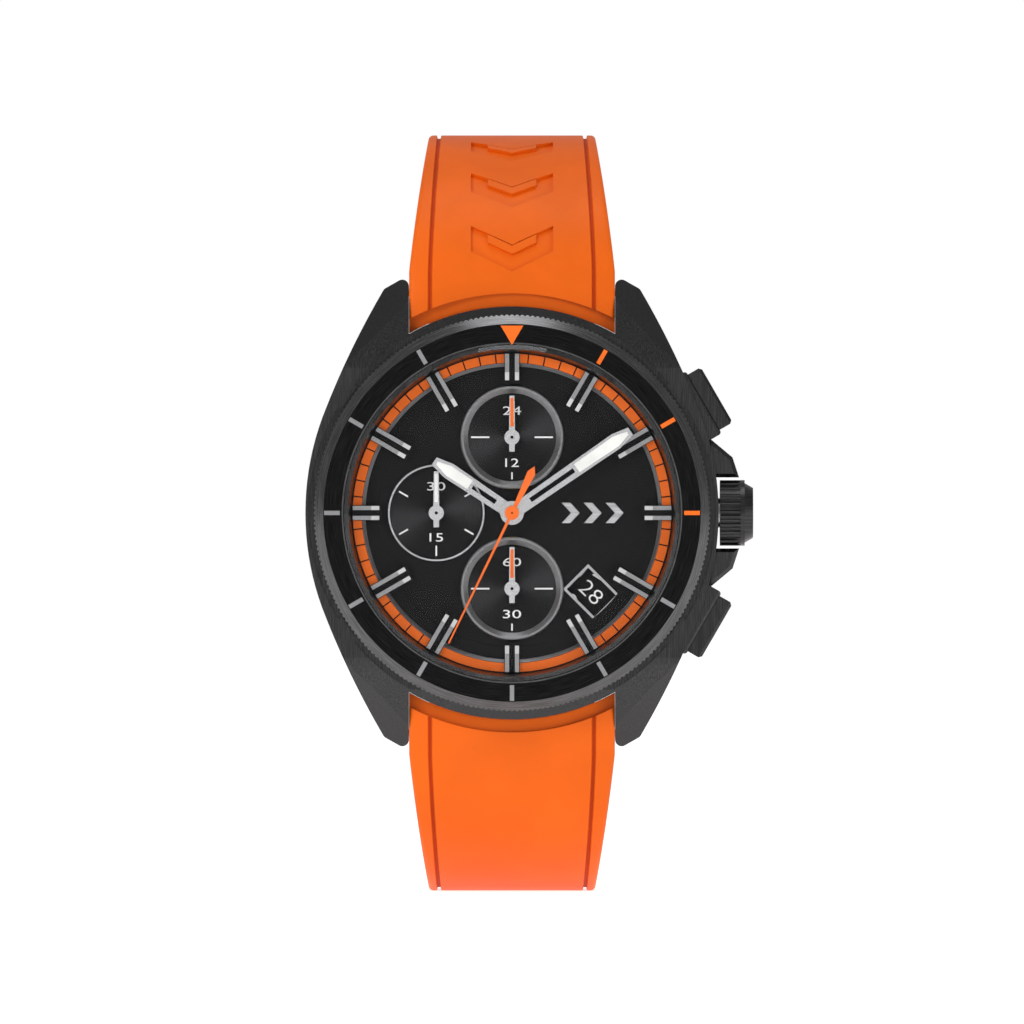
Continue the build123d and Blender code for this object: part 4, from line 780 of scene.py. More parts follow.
class RingOfMarks:
    """A Geometry Nodes tree that repeats a mark about an axis across the dial."""

    INPUTS = (
        ("Mark", "NodeSocketObject"),
        ("Count", "NodeSocketInt"),
        ("Start", "NodeSocketFloat"),
        ("Step", "NodeSocketFloat"),
        ("Centre", "NodeSocketVector"),
        ("Finish", "NodeSocketMaterial"),
    )

    def __init__(self) -> None:
        """Build the tree once."""
        self.tree = bpy.data.node_groups.new("ring_of_marks", "GeometryNodeTree")
        face = self.tree.interface
        self.keys = {
            name: face.new_socket(name=name, in_out="INPUT", socket_type=kind).identifier
            for name, kind in self.INPUTS
        }
        face.new_socket(name="Geometry", in_out="OUTPUT", socket_type="NodeSocketGeometry")
        given = self._node("NodeGroupInput").outputs
        angle = self._maths("MULTIPLY", self._node("GeometryNodeInputIndex").outputs[0], given["Step"])
        angle = self._maths("ADD", angle, given["Start"])
        back = self._maths("MULTIPLY", angle, -1.0)
        turn = self._node("ShaderNodeCombineXYZ", Y=back).outputs[0]
        rotation = self._node("FunctionNodeEulerToRotation", Euler=turn).outputs[0]
        points = self._node("GeometryNodePoints", Count=given["Count"], Position=given["Centre"])
        mark = self._node("GeometryNodeObjectInfo", Object=given["Mark"])
        set_out = self._node(
            "GeometryNodeInstanceOnPoints",
            Points=points.outputs[0],
            Instance=mark.outputs["Geometry"],
            Rotation=rotation,
        )
        whole = self._node("GeometryNodeRealizeInstances", Geometry=set_out.outputs[0])
        dressed = self._node(
            "GeometryNodeSetMaterial", Geometry=whole.outputs[0], Material=given["Finish"]
        )
        self._node("NodeGroupOutput", Geometry=dressed.outputs[0])

    def _node(self, kind: str, **links: object) -> bpy.types.Node:
        """Add a node and link or set its inputs by name."""
        node = self.tree.nodes.new(kind)
        for name, value in links.items():
            if isinstance(value, bpy.types.NodeSocket):
                self.tree.links.new(value, node.inputs[name])
            else:
                node.inputs[name].default_value = value
        return node

    def _maths(self, operation: str, first: object, second: object) -> bpy.types.NodeSocket:
        """Add a Math node and return its result."""
        node = self.tree.nodes.new("ShaderNodeMath")
        node.operation = operation
        for socket, value in zip(node.inputs, (first, second)):
            if isinstance(value, bpy.types.NodeSocket):
                self.tree.links.new(value, socket)
            else:
                socket.default_value = value
        return node.outputs[0]

    def make(
        self,
        name: str,
        mark: bpy.types.Object,
        finish: bpy.types.Material,
        count: int,
        start: float,
        step: float,
        centre: Spot = (0.0, 0.0),
    ) -> bpy.types.Object:
        """Repeat a mark and return the plain mesh.

        Args:
            name: The piece's name.
            mark: The mark, made along +X. It is removed.
            finish: The material of all copies.
            count: How many copies.
            start: The first copy's angle in degrees, anticlockwise from 3 o'clock.
            step: The angle between copies.
            centre: The ring's middle, in watch millimetres.

        Returns:
            The finished object, at the origin.
        """
        host = bpy.data.objects.new(name + "_host", bpy.data.meshes.new(name + "_host"))
        bpy.context.scene.collection.objects.link(host)
        modifier = host.modifiers.new("ring", "NODES")
        modifier.node_group = self.tree
        given = {
            "Mark": mark,
            "Count": count,
            "Start": math.radians(start),
            "Step": math.radians(step),
            "Centre": at(centre[0], centre[1], 0.0),
            "Finish": finish,
        }
        for key, value in given.items():
            modifier[self.keys[key]] = value
        made = settle(host, name)
        bpy.data.objects.remove(mark)
        return made


# ---------------------------------------------------------------------------- finished model
def top_of(node: str) -> float:
    """A CAD node's height out of the dial, in millimetres, read from the frame."""
    return -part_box(node)[0].y / MM


@dataclass
class Workshop:
    """What every sub-assembly needs: the materials and the shared tree."""

    materials: dict[str, bpy.types.Material]
    ring: RingOfMarks

    def put(
        self, thing: bpy.types.Object, body: str, slot: str | None = None, stands_for: Sequence[str] = ()
    ) -> bpy.types.Object:
        """Let a piece ride on a body and report it.

        Args:
            thing: The finished piece.
            body: The body that carries it.
            slot: The record's material slot, if it has one; not used.
            stands_for: CAD nodes that it replaces.

        Returns:
            The piece.
        """
        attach(thing, body)
        if stands_for:
            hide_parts(*stands_for)
        log.info("%s: %d faces on %s", thing.name, len(thing.data.polygons), body)
        return thing


@dataclass(frozen=True)
class Numeral:
    """A printed number, fitted into a box and turned."""

    text: str
    x: float
    y: float
    width: float
    height: float
    turn: float = 0.0
    weight: float = 0.02

    def mesh(self, low: float, high: float) -> bpy.types.Mesh:
        """Make the number's mesh.

        Args:
            low: The print's underside.
            high: Its top.

        Returns:
            A mesh in the model's metres.
        """
        curve = bpy.data.curves.new("number_" + self.text, "FONT")
        curve.body = self.text
        curve.size, curve.offset = 1.0, self.weight
        curve.extrude, curve.resolution_u = 0.5, 3
        holder = bpy.data.objects.new(curve.name, curve)
        bpy.context.scene.collection.objects.link(holder)
        bpy.context.view_layer.update()
        mesh = bpy.data.meshes.new_from_object(
            holder.evaluated_get(bpy.context.evaluated_depsgraph_get())
        )
        bpy.data.objects.remove(holder)
        bpy.data.curves.remove(curve)
        spots = [v.co.copy() for v in mesh.vertices]
        low_x, high_x = min(p.x for p in spots), max(p.x for p in spots)
        low_y, high_y = min(p.y for p in spots), max(p.y for p in spots)
        for vertex, p in zip(mesh.vertices, spots):
            u = ((p.x - low_x) / (high_x - low_x) - 0.5) * self.width
            v = ((p.y - low_y) / (high_y - low_y) - 0.5) * self.height
            (u, v), = turned([(u, v)], self.turn)
            vertex.co = at(self.x + u, self.y + v, low + (p.z + 0.5) * (high - low))
        work = bmesh.new()
        work.from_mesh(mesh)
        bmesh.ops.remove_doubles(work, verts=work.verts, dist=0.0004 * MM)
        bmesh.ops.recalc_face_normals(work, faces=work.faces)
        work.to_mesh(mesh)
        work.free()
        return mesh


@dataclass
class Bezel:
    """The printed scale on the turning bezel."""

    shop: Workshop
    inner: float = 18.40
    outer: float = 20.08
    width: float = 0.46
    triangle: Point = (17.95, 20.02, 1.22)  # radius of its point and of its base, half its width
    print_height: float = 0.025
    ease: float = 0.01

    def build(self) -> None:
        """Make eight grey bars, three orange ones and the triangle at 12."""
        top = top_of("bezel_insert")
        low, high = top - 0.02, top + self.print_height
        half = self.width / 2
        bar = [(self.inner, -half), (self.outer, -half), (self.outer, half), (self.inner, half)]
        rows = (("bezel_bars_grey", Ink.GREY, 8, -240), ("bezel_bars_orange", Ink.ORANGE, 3, 0))
        for name, ink, count, start in rows:
            mark = Moulding().prism(bar, low, high, self.ease).piece(name + "_mark")
            made = self.shop.ring.make(name, mark, self.shop.materials[ink.value], count, start, 30)
            self.shop.put(made, "bezel")
        point, base, side = self.triangle
        outline = turned([(point, 0.0), (base, -side), (base, side)], 90)
        shape = Moulding().prism(outline, low, high, self.ease)
        self.shop.put(shape.piece("bezel_triangle", self.shop.materials[Ink.ORANGE.value]), "bezel")


@dataclass
class Dial:
    """Everything printed or set on the dial and the ring round it."""

    shop: Workshop
    track_inner: float = 16.08
    track_outer: float = 17.02
    step: float = 6.0
    gap: float = 0.5
    band_half: float = 29.8
    bar_offset: float = 0.53
    bar_half: float = 0.22
    tip_length: float = 0.86
    distance: float = 8.1
    chapter_floor: float = 7.57
    subdial_floor: float = 6.87
    print_height: float = 0.035
    dash_half: float = 0.085
    narrow: float = 1.45
    wide: float = 1.95
    emblem: Spot = (5.3, 2.35)  # where the ornament starts, and the pitch of its chevrons

    def _sector(self, first: float, last: float, steps: int) -> list[Spot]:
        """The outline of a piece of the minute track between two angles."""
        turns = [first + (last - first) * k / steps for k in range(steps + 1)]
        outside = [polar(self.track_outer, a) for a in turns]
        return outside + [polar(self.track_inner, a) for a in reversed(turns)]

    def _track(self) -> None:
        """Make the orange minute track: fifty blocks and one long band."""
        low, high = self.chapter_floor, self.chapter_floor + self.print_height
        orange = self.shop.materials[Ink.ORANGE.value]
        half = (self.step - self.gap) / 2
        block = Moulding().prism(self._sector(-half, half, 4), low, high).piece("track_mark")
        made = self.shop.ring.make("minute_track", block, orange, 50, -57, self.step)
        self.shop.put(made, "case")
        band = self._sector(270 - self.band_half, 270 + self.band_half, 40)
        self.shop.put(Moulding().prism(band, low, high).piece("minute_band", orange), "case")

    def _tips(self) -> None:
        """Make the pale inner ends of the hour bars."""
        top = top_of("hour_bars")
        for name, inner, starts, step in (
            ("bar_tips_long_a", 12.9, 30, 90),
            ("bar_tips_long_b", 12.9, 60, 90),
            ("bar_tips_short", 14.2, 0, 90),
        ):
            mark = Moulding()
            for side in (1, -1):
                middle = side * self.bar_offset
                y0, y1 = middle - self.bar_half, middle + self.bar_half
                x0, x1 = inner - 0.01, inner + self.tip_length
                mark.prism([(x0, y0), (x1, y0), (x1, y1), (x0, y1)], top - 0.1, top + 0.03, 0.02)
            tip = self.shop.materials[Ink.TIP.value]
            made = self.shop.ring.make(name, mark.piece(name + "_mark"), tip, 4, starts, step)
            self.shop.put(made, "case")

    def _dashes(self) -> None:
        """Make the sub-dials' printed dashes."""
        floor, half = self.subdial_floor, self.dash_half
        white = self.shop.materials[Ink.WHITE.value]
        rows = (
            ("dashes_upper", (0.0, self.distance), 2.42, 4.38, 2, 0, 180),
            ("dashes_lower", (0.0, -self.distance), 2.42, 4.38, 2, 0, 180),
            ("tick_upper", (0.0, self.distance), 3.75, 4.5, 1, 270, 0),
            ("tick_lower", (0.0, -self.distance), 3.75, 4.5, 1, 270, 0),
            ("ticks_left_upper", (-self.distance, 0.0), 3.5, 4.6, 2, 30, 120),
            ("ticks_left_lower", (-self.distance, 0.0), 3.5, 4.6, 3, 210, 60),
        )
        for name, centre, inner, outer, count, start, step in rows:
            bar = [(inner, -half), (outer, -half), (outer, half), (inner, half)]
            mark = Moulding().prism(bar, floor, floor + 0.04).piece(name + "_mark")
            made = self.shop.ring.make(name, mark, white, count, start, step, centre)
            self.shop.put(made, "case")

    def _numbers(self) -> None:
        """Make the sub-dials' numbers."""
        d = self.distance
        rows = (
            ("24", 0.0, d + 2.85), ("12", 0.0, d - 2.72),
            ("30", -d, 2.85), ("15", -d, -2.62),
            ("60", 0.0, -d + 2.85), ("30", 0.0, -d - 2.72),
        )
        floor = self.subdial_floor
        meshes = [
            Numeral(text, x, y, self.narrow if text[0] == "1" else self.wide, 0.9, weight=0.0).mesh(
                floor, floor + 0.05
            )
            for text, x, y in rows
        ]
        made = joined("subdial_numbers", meshes, self.shop.materials[Ink.WHITE.value])
        self.shop.put(made, "case")

    def _emblem(self) -> None:
        """Make the applied ornament at 3 o'clock: three chevrons."""
        low = top_of("dial")
        emblem = Moulding()
        chevron = [(0.0, -1.1), (0.95, -1.1), (1.95, 0.0), (0.95, 1.1), (0.0, 1.1), (1.0, 0.0)]
        start, pitch = self.emblem
        for k in range(3):
            outline = [(start + pitch * k + x, y) for x, y in chevron]
            emblem.prism(outline, low - 0.02, low + 0.13, 0.03)
        made = emblem.piece("dial_emblem", self.shop.materials[Ink.SILVER.value])
        self.shop.put(made, "case")

    def _polish(self) -> None:
        """Make the bright line on the ring of the left sub-dial."""
        top = top_of("dial") + 0.2
        section = [(4.99, top - 0.04), (5.15, top - 0.04), (5.15, top + 0.015), (4.99, top + 0.015)]
        line = Moulding().lathe(section, 96, (-self.distance, 0.0))
        self.shop.put(line.piece("left_ring_line", self.shop.materials[Ink.SILVER.value]), "case")

    def build(self) -> None:
        """Make all of it."""
        self._polish()
        self._track()
        self._tips()
        self._dashes()
        self._numbers()
        self._emblem()


@dataclass
class DateNumbers:
    """The thirty-one numbers of the date disc, with the shown one in the window."""

    shop: Workshop
    window: float = -45.0
    radius: float = 12.0
    shown: int = 28
    count: int = 31
    height: float = 1.62
    widths: Spot = (1.15, 2.5)  # of one digit and of two

    def build(self) -> None:
        """Make the numbers."""
        top = top_of("date_disc")
        meshes = []
        for day in range(1, self.count + 1):
            turn = self.window + (day - self.shown) * 360 / self.count
            x, y = polar(self.radius, turn)
            number = Numeral(str(day), x, y, self.widths[day > 9], self.height, turn, -0.012)
            meshes.append(number.mesh(top - 0.01, top + 0.02))
        made = joined("date_numbers", meshes, self.shop.materials[Ink.WHITE.value])
        self.shop.put(made, "date_disc")


@dataclass
class Hands:
    """The pale and coloured inlays of the hands."""

    shop: Workshop
    hour_turn: float = 90 - 303.7
    minute_turn: float = 90 - 55.4
    distance: float = 8.1

    @staticmethod
    def _pocket(start: float, length: float) -> list[Spot]:
        """The outline of a main hand's inlay, along +X."""
        far = length - 1.9
        return [
            (start, -0.54), (far, -0.61), (length - 0.36, -0.19),
            (length - 0.36, 0.19), (far, 0.61), (start, 0.54),
        ]

    def _pin(self, node: str, body: str, centre: Spot, radius: float) -> None:
        """Make the dark arbor end that shows in a hub."""
        top = top_of(node)
        rim = [polar(radius, 15.0 * k) for k in range(24)]
        outline = [(centre[0] + x, centre[1] + y) for x, y in rim]
        pin = Moulding().prism(outline, top - 0.05, top + 0.012)
        self.shop.put(pin.piece(node + "_pin", self.shop.materials["date_black"]), body)

    def build(self) -> None:
        """Make the inlays and the arbor ends."""
        lume = self.shop.materials[Ink.LUME.value]
        for node, start, length, turn in (
            ("hour_hand", 5.4, 10.0, self.hour_turn),
            ("minute_hand", 8.4, 15.4, self.minute_turn),
        ):
            top = top_of(node)
            outline = turned(self._pocket(start, length), turn)
            inlay = Moulding().prism(outline, top - 0.095, top + 0.02, 0.03)
            self.shop.put(inlay.piece(node + "_lume", lume), node)
        strip = [(1.15, -0.18), (4.2, -0.16), (4.2, 0.16), (1.15, 0.18)]
        for node, body, centre, ink in (
            ("day_hand", "day_hand", (0.0, self.distance), Ink.ORANGE),
            ("chrono_minutes_hand", "chrono_minutes", (-self.distance, 0.0), Ink.WHITE),
            ("small_seconds_hand", "small_seconds", (0.0, -self.distance), Ink.ORANGE),
        ):
            blade = top_of(node) - 0.1
            outline = [(centre[0] + x, centre[1] + y) for x, y in turned(strip, 90)]
            inlay = Moulding().prism(outline, blade - 0.03, blade + 0.02)
            self.shop.put(inlay.piece(node + "_strip", self.shop.materials[ink.value]), body)
            self._pin(node, body, centre, 0.17)
        self._pin("chrono_seconds_hand", "chrono_seconds", (0.0, 0.0), 0.1)


# ---------------------------------------------------------------------------- strap
@dataclass(frozen=True)
class Station:
    """One cross-section of the strap: its inner and outer points, in Y and height, and sizes."""

    inner: Spot
    outer: Spot
    half: float
    groove: float
    depth: float


@dataclass
class Strap:
    """Both strap halves as they lie when the buckle is closed."""

    shop: Workshop
    half_case: float = 11.02
    half_back: float = 9.0
    straight: float = 26.0
    horizon: Spot = (40.7, -17.0)
    thickness: float = 2.6
    outer_radius: float = 23.2
    inner_radius: float = 18.37
    back_radius: float = 19.4
    start_y: float = 18.8
    short_drop: float = 5.6
    long_drop: float = 8.7
    bar_y: float = 1.4
    groove_case: float = 2.05
    groove_back: float = 0.95
    pitch: float = 6.8
    first_hole: float = -0.9
    corner: float = 0.5
    spacing: float = 0.8
    groove_half: float = 0.16
    groove_depth: float = 0.35
    hole: Spot = (0.35, 0.9)  # half its straight length, and the radius of its ends
    chevron_angles: tuple[float, ...] = (62, 42, 22)
    chevron_shift: float = 2.8
    chevron_depth: float = 0.4
    bore_at: Spot = (23.6, 3.2)
    bore: float = 0.77
    pin_bore: float = 0.65
    case_radius: float = 22.16
    step_radius: float = 23.5
    step_height: float = 5.0
    tail_reach: float = 22.0

    @property
    def bend_y(self) -> float:
        """Where the flat run behind the wrist begins."""
        return self.horizon[0] - self.thickness / 2 - self.back_radius

    def _sizes(self, y: float) -> Spot:
        """The half width and the groove's distance from the edge at a Y on the front."""
        t = min(max((y - self.straight) / (self.horizon[0] - self.straight), 0.0), 1.0)
        half = self.half_case + (self.half_back - self.half_case) * t + 0.45 * t * (1 - t)
        return half, self.groove_case + (self.groove_back - self.groove_case) * t

    def _front(self) -> list[Station]:
        """Stations from the case to the horizon."""
        cy, cz = self.horizon[0] - self.outer_radius, self.horizon[1]
        iy = self.horizon[0] - self.thickness - self.inner_radius
        outer_end = math.acos((self.start_y - cy) / self.outer_radius)
        inner_end = math.acos((self.start_y - iy) / self.inner_radius)
        count = int(self.outer_radius * outer_end / self.spacing)
        found = []
        for k in range(count):
            share = 1 - k / count
            a, b = outer_end * share, inner_end * share
            y = cy + self.outer_radius * math.cos(a)
            half, groove = self._sizes(y)
            found.append(
                Station(
                    (iy + self.inner_radius * math.cos(b), cz + self.inner_radius * math.sin(b)),
                    (y, cz + self.outer_radius * math.sin(a)),
                    half,
                    groove,
                    self.groove_depth,
                )
            )
        return found

    def _back(self, inner: Spot, outer: Spot, half: float = 0.0, depth: float | None = None) -> Station:
        """A station where the strap has its width behind the wrist."""
        shallow = self.groove_depth if depth is None else depth
        return Station(inner, outer, half or self.half_back, self.groove_back, shallow)

    def _bend(self, drop: float) -> list[Station]:
        """Stations down beside the wrist and round behind it, up to the flat run."""
        y, z = self.horizon
        low, middle, t = z - drop, y - self.thickness / 2, self.thickness / 2
        count = max(2, int(drop / self.spacing))
        heights = [z - drop * k / count for k in range(count)]
        found = [self._back((middle - t, here), (y, here)) for here in heights]
        count = int(self.back_radius * math.pi / 2 / self.spacing)
        for k in range(count + 1):
            a = -math.pi / 2 * k / count
            inner, outer = (
                (self.bend_y + radius * math.cos(a), low + radius * math.sin(a))
                for radius in (self.back_radius - t, self.back_radius + t)
            )
            found.append(self._back(inner, outer))
        return found

    def _section(self, station: Station) -> list[Spot]:
        """The cross-section: across the strap, and out from the inner face, in millimetres."""
        (iy, iz), (oy, oz) = station.inner, station.outer
        thick = math.hypot(oy - iy, oz - iz)
        half, r = station.half, min(self.corner, thick * 0.45)
        turns = [k * math.pi / 8 for k in range(5)]
        right = [(0.0, 0.0), (half * 0.5, 0.0)]
        right += [(half - r + r * math.sin(a), r - r * math.cos(a)) for a in turns]
        right += [(half - r + r * math.cos(a), thick - r + r * math.sin(a)) for a in turns]
        w = self.groove_half
        g, deep = half - station.groove - 0.2, thick - station.depth
        right += [(g + w + 0.11, thick), (g + w + 0.05, thick - 0.06), (g + w, deep)]
        right += [(g - w, deep), (g - w - 0.05, thick - 0.06), (g - w - 0.11, thick)]
        right += [(g * 0.66, thick), (g * 0.33, thick), (0.0, thick)]
        left = [(-u, v) for u, v in reversed(right[1:-1])]
        return right + left

    def _loft(self, name: str, stations: Sequence[Station], side: int) -> bpy.types.Object:
        """Skin the stations.

        Args:
            name: The piece's name.
            stations: Cross-sections in order.
            side: 1 for the half at 12 o'clock, -1 for the other.

        Returns:
            A closed solid, with the groove's floor in the second material, a darker orange that paints the
            groove's shade.
        """
        shape = Moulding()
        rings = []
        for station in stations:
            (iy, iz), (oy, oz) = station.inner, station.outer
            thick = math.hypot(oy - iy, oz - iz)
            ring = []
            for u, v in self._section(station):
                share = v / thick
                ring.append(at(u, side * (iy + (oy - iy) * share), iz + (oz - iz) * share))
            rings.append(ring)
        shape.layers(rings)
        size = len(rings[0])
        floor = {14, size - 15}  # the quads between the groove's two lower corners
        shape.faces = [
            (face, 1 if len(face) == 4 and min(k % size for k in face) in floor else 0)
            for face, _ in shape.faces
        ]
        rubber = self.shop.materials["strap_orange"]
        return shape.piece(name, rubber, self.shop.materials[GROOVE_SHADE.name], angle=38)

    def _slot(self, y: float, z: float, tilt: float) -> Moulding:
        """A rounded bar through the strap, for one adjusting hole.

        Args:
            y: The hole's middle.
            z: Its height.
            tilt: The direction of its axis in the side view, in radians from the height axis.

        Returns:
            The cutter's moulding.
        """
        straight, radius = self.hole
        outline = [
            (side * straight + radius * math.cos(a), radius * math.sin(a))
            for side, first in ((1, -math.pi / 2), (-1, math.pi / 2))
            for a in (first + k * math.pi / 8 for k in range(9))
        ]
        rings = []
        for reach in (-3.0, 3.0):
            ring = []
            for u, v in outline:
                dy = v * math.cos(tilt) + reach * math.sin(tilt)
                dz = -v * math.sin(tilt) + reach * math.cos(tilt)
                ring.append(at(u, y + dy, z + dz))
            rings.append(ring)
        shape = Moulding()
        shape.layers(rings)
        return shape

    def _holes(self) -> Moulding:
        """All adjusting holes of the long half, at one pitch along it."""
        straight = self.first_hole + self.bend_y
        arc = self.back_radius * math.pi / 2
        low = self.horizon[1] - self.long_drop
        long_z = low - self.back_radius
        whole = Moulding()
        for k in range(-2, 9):
            run = k * self.pitch
            if run < straight:
                part = self._slot(self.first_hole - run, long_z, 0.0)
            elif run < straight + arc:
                turn = (run - straight) / self.back_radius
                part = self._slot(
                    -self.bend_y - self.back_radius * math.sin(turn),
                    low - self.back_radius * math.cos(turn),
                    turn,
                )
            else:
                part = self._slot(
                    -self.bend_y - self.back_radius, low + run - straight - arc, math.pi / 2
                )
            whole.add(part.points, [face for face, _ in part.faces])
        return whole

    def _chevrons(self) -> Moulding:
        """Outlined chevrons that are pressed into the upper half, following its curve."""
        cy, cz = self.horizon[0] - self.outer_radius, self.horizon[1]
        whole = Moulding()
        outer = [(-4.4, 0.0), (0.0, 2.4), (4.4, 0.0), (4.4, 3.2), (0.0, 5.6), (-4.4, 3.2)]
        island = [(-2.6, 1.1), (0.0, 2.52), (2.6, 1.1), (2.6, 2.1), (0.0, 3.52), (-2.6, 2.1)]

        def fine(corners: Sequence[Spot]) -> list[Spot]:
            """The same outline with points between its corners."""
            found = []
            for k, (ax, ay) in enumerate(corners):
                bx, by = corners[(k + 1) % len(corners)]
                found += [(ax + (bx - ax) * n / 6, ay + (by - ay) * n / 6) for n in range(6)]
            return found

        low, high = self.outer_radius - self.chevron_depth, self.outer_radius + 1.0
        for degrees in self.chevron_angles:
            middle = math.radians(degrees)
            rings = []
            for radius, outline in (
                (low, fine(outer)), (high, fine(outer)), (high, fine(island)), (low, fine(island))
            ):
                ring = []
                for u, v in outline:
                    a = middle + (v - self.chevron_shift) / self.outer_radius
                    ring.append(at(-u, cy + radius * math.cos(a), cz + radius * math.sin(a)))
                rings.append(ring)
            whole.layers(rings, closed=True)
        return whole

    @staticmethod
    def _bar(radius: float, y: float, z: float, steps: int = 32) -> Moulding:
        """A round bar across the watch, longer than the strap is wide."""
        rings = []
        for x in (-14.0, 14.0):
            rings.append([
                at(x, y + radius * math.cos(a), z + radius * math.sin(a))
                for a in (2 * math.pi * k / steps for k in range(steps))
            ])
        shape = Moulding()
        shape.layers(rings)
        return shape

    def _case_side(self) -> Moulding:
        """The round space of the case at the strap's end, wider above the step."""
        inside, low, high = 10.0, -8.0, 12.0  # well past the strap's end on each side
        near, far, step = self.case_radius, self.step_radius, self.step_height
        return Moulding().lathe(
            [(inside, low), (near, low), (near, step), (far, step), (far, high), (inside, high)]
        )

    def _half(self, name: str, stations: Sequence[Station], side: int) -> bpy.types.Object:
        """One half, cut to the case and bored for its spring bar."""
        body = carve(self._loft(name, stations, side), self._case_side().piece("case_space"))
        y, z = self.bore_at
        return carve(body, self._bar(self.bore, side * y, z).piece("bar_space"))

    def _upper(self) -> list[Station]:
        """The short half's stations, up to the rounded eye of the buckle's pin."""
        level, t = self.horizon[1] - self.short_drop - self.back_radius, self.thickness / 2
        found = self._front() + self._bend(self.short_drop)
        run = int((self.bend_y - self.bar_y) / self.spacing)
        for k in range(1, run + 1):
            y = self.bend_y + (self.bar_y - self.bend_y) * k / run
            found.append(self._back((y, level + t), (y, level - t)))
        for k in range(1, 7):
            a = k * math.pi / 14
            y, r = self.bar_y - t * math.sin(a), t * math.cos(a)
            depth = self.groove_depth * (1 - k / 6)
            found.append(self._back((y, level + r), (y, level - r), depth=depth))
        return found

    def _lower(self) -> list[Station]:
        """The long half's stations, up to the rounded end of its tail."""
        level, t = self.horizon[1] - self.long_drop - self.back_radius, self.thickness / 2
        found = self._front() + self._bend(self.long_drop)
        run = int(2 * self.bend_y / self.spacing)
        for k in range(1, run):
            y = self.bend_y - 2 * self.bend_y * k / run
            found.append(self._back((y, level + t), (y, level - t)))
        middle = self.back_radius + self.long_drop - self.short_drop
        low = self.horizon[1] - self.short_drop
        reach = math.atan2(self.tail_reach, 40.0)
        count = 18
        for k in range(count + 1):
            a = -math.pi / 2 + reach * 0.99 * k / count
            inner, outer = (
                (-self.bend_y - (middle + d) * math.cos(a), low + (middle + d) * math.sin(a)) for d in (-t, t)
            )
            tip = max(0.0, k - count + 8) / 8
            half = self.half_back * math.sqrt(max(0.06, 1 - 0.86 * tip ** 2.2))
            found.append(self._back(inner, outer, half, None if tip == 0 else 0.02))
        return found

    def build(self) -> None:
        """Make both halves."""
        short_z = self.horizon[1] - self.short_drop - self.back_radius
        y0, y1 = self.bar_y - 4, self.bar_y + 2.6
        notch = [(-1.5, y0), (1.5, y0), (1.5, y1), (-1.5, y1)]
        made = self._half("strap_upper_rubber", self._upper(), 1)
        for name, cutter in (
            ("chevron_space", self._chevrons()),
            ("pin_space", self._bar(self.pin_bore, self.bar_y, short_z)),
            ("tongue_space", Moulding().prism(notch, short_z - 5, short_z + 5)),
        ):
            made = carve(made, cutter.piece(name))
        soften(made.data, 38)
        self.shop.put(made, "case", "strap_orange", ["strap_upper"])

        made = self._half("strap_lower_rubber", self._lower(), -1)
        made = carve(made, self._holes().piece("hole_space"))
        soften(made.data, 38)
        self.shop.put(made, "case", "strap_orange", ["strap_lower"])


@dataclass
class Keeper:
    """A rubber loop round both layers of the strap."""

    shop: Workshop
    node: str
    body: str
    wall: float = 1.0
    corner: float = 1.2

    def build(self) -> None:
        """Make the loop inside its node's box."""
        low, high = (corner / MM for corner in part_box(self.node))
        y0, y1 = low.z, high.z
        x1, top, bottom = high.x, -low.y, -high.y
        section = [
            (self.wall, y0 + 0.3), (self.wall - 0.09, y0 + 0.09), (self.wall - 0.3, y0), (0.2, y0),
            (0.0, y0 + 0.2), (0.0, y1 - 0.2), (0.2, y1), (self.wall - 0.3, y1),
            (self.wall - 0.09, y1 - 0.09), (self.wall, y1 - 0.3), (self.wall, (y0 + y1) / 2),
        ]
        bend = self.corner
        corners = (
            (x1 - bend, top - bend, 0), (bend - x1, top - bend, 90),
            (bend - x1, bottom + bend, 180), (x1 - bend, bottom + bend, 270),
        )
        rings = []
        for cx, ch, first in corners:
            for k in range(7):
                a = math.radians(first + 15 * k)
                ring = []
                for out, y in section:
                    r = bend - self.wall + out
                    ring.append(at(cx + r * math.cos(a), y, ch + r * math.sin(a)))
                rings.append(ring)
        loop = Moulding()
        loop.layers(rings, closed=True)
        made = loop.piece(self.node + "_rubber", self.shop.materials["keeper_orange"], angle=50)
        self.shop.put(made, self.body, "keeper_orange", [self.node])


# ---------------------------------------------------------------------------- studio
@dataclass(frozen=True)
class Softbox:
    """A square light that looks at the watch."""

    name: str
    place: Point
    size: float
    power: float

    def build(self) -> None:
        """Make the light."""
        data = bpy.data.lights.new(self.name, "AREA")
        data.shape, data.size, data.energy = "SQUARE", self.size, self.power
        lamp = bpy.data.objects.new(self.name, data)
        lamp.location = self.place
        lamp.rotation_mode = "QUATERNION"
        lamp.rotation_quaternion = (-Vector(self.place)).to_track_quat("-Z", "Y")
        bpy.context.scene.collection.objects.link(lamp)


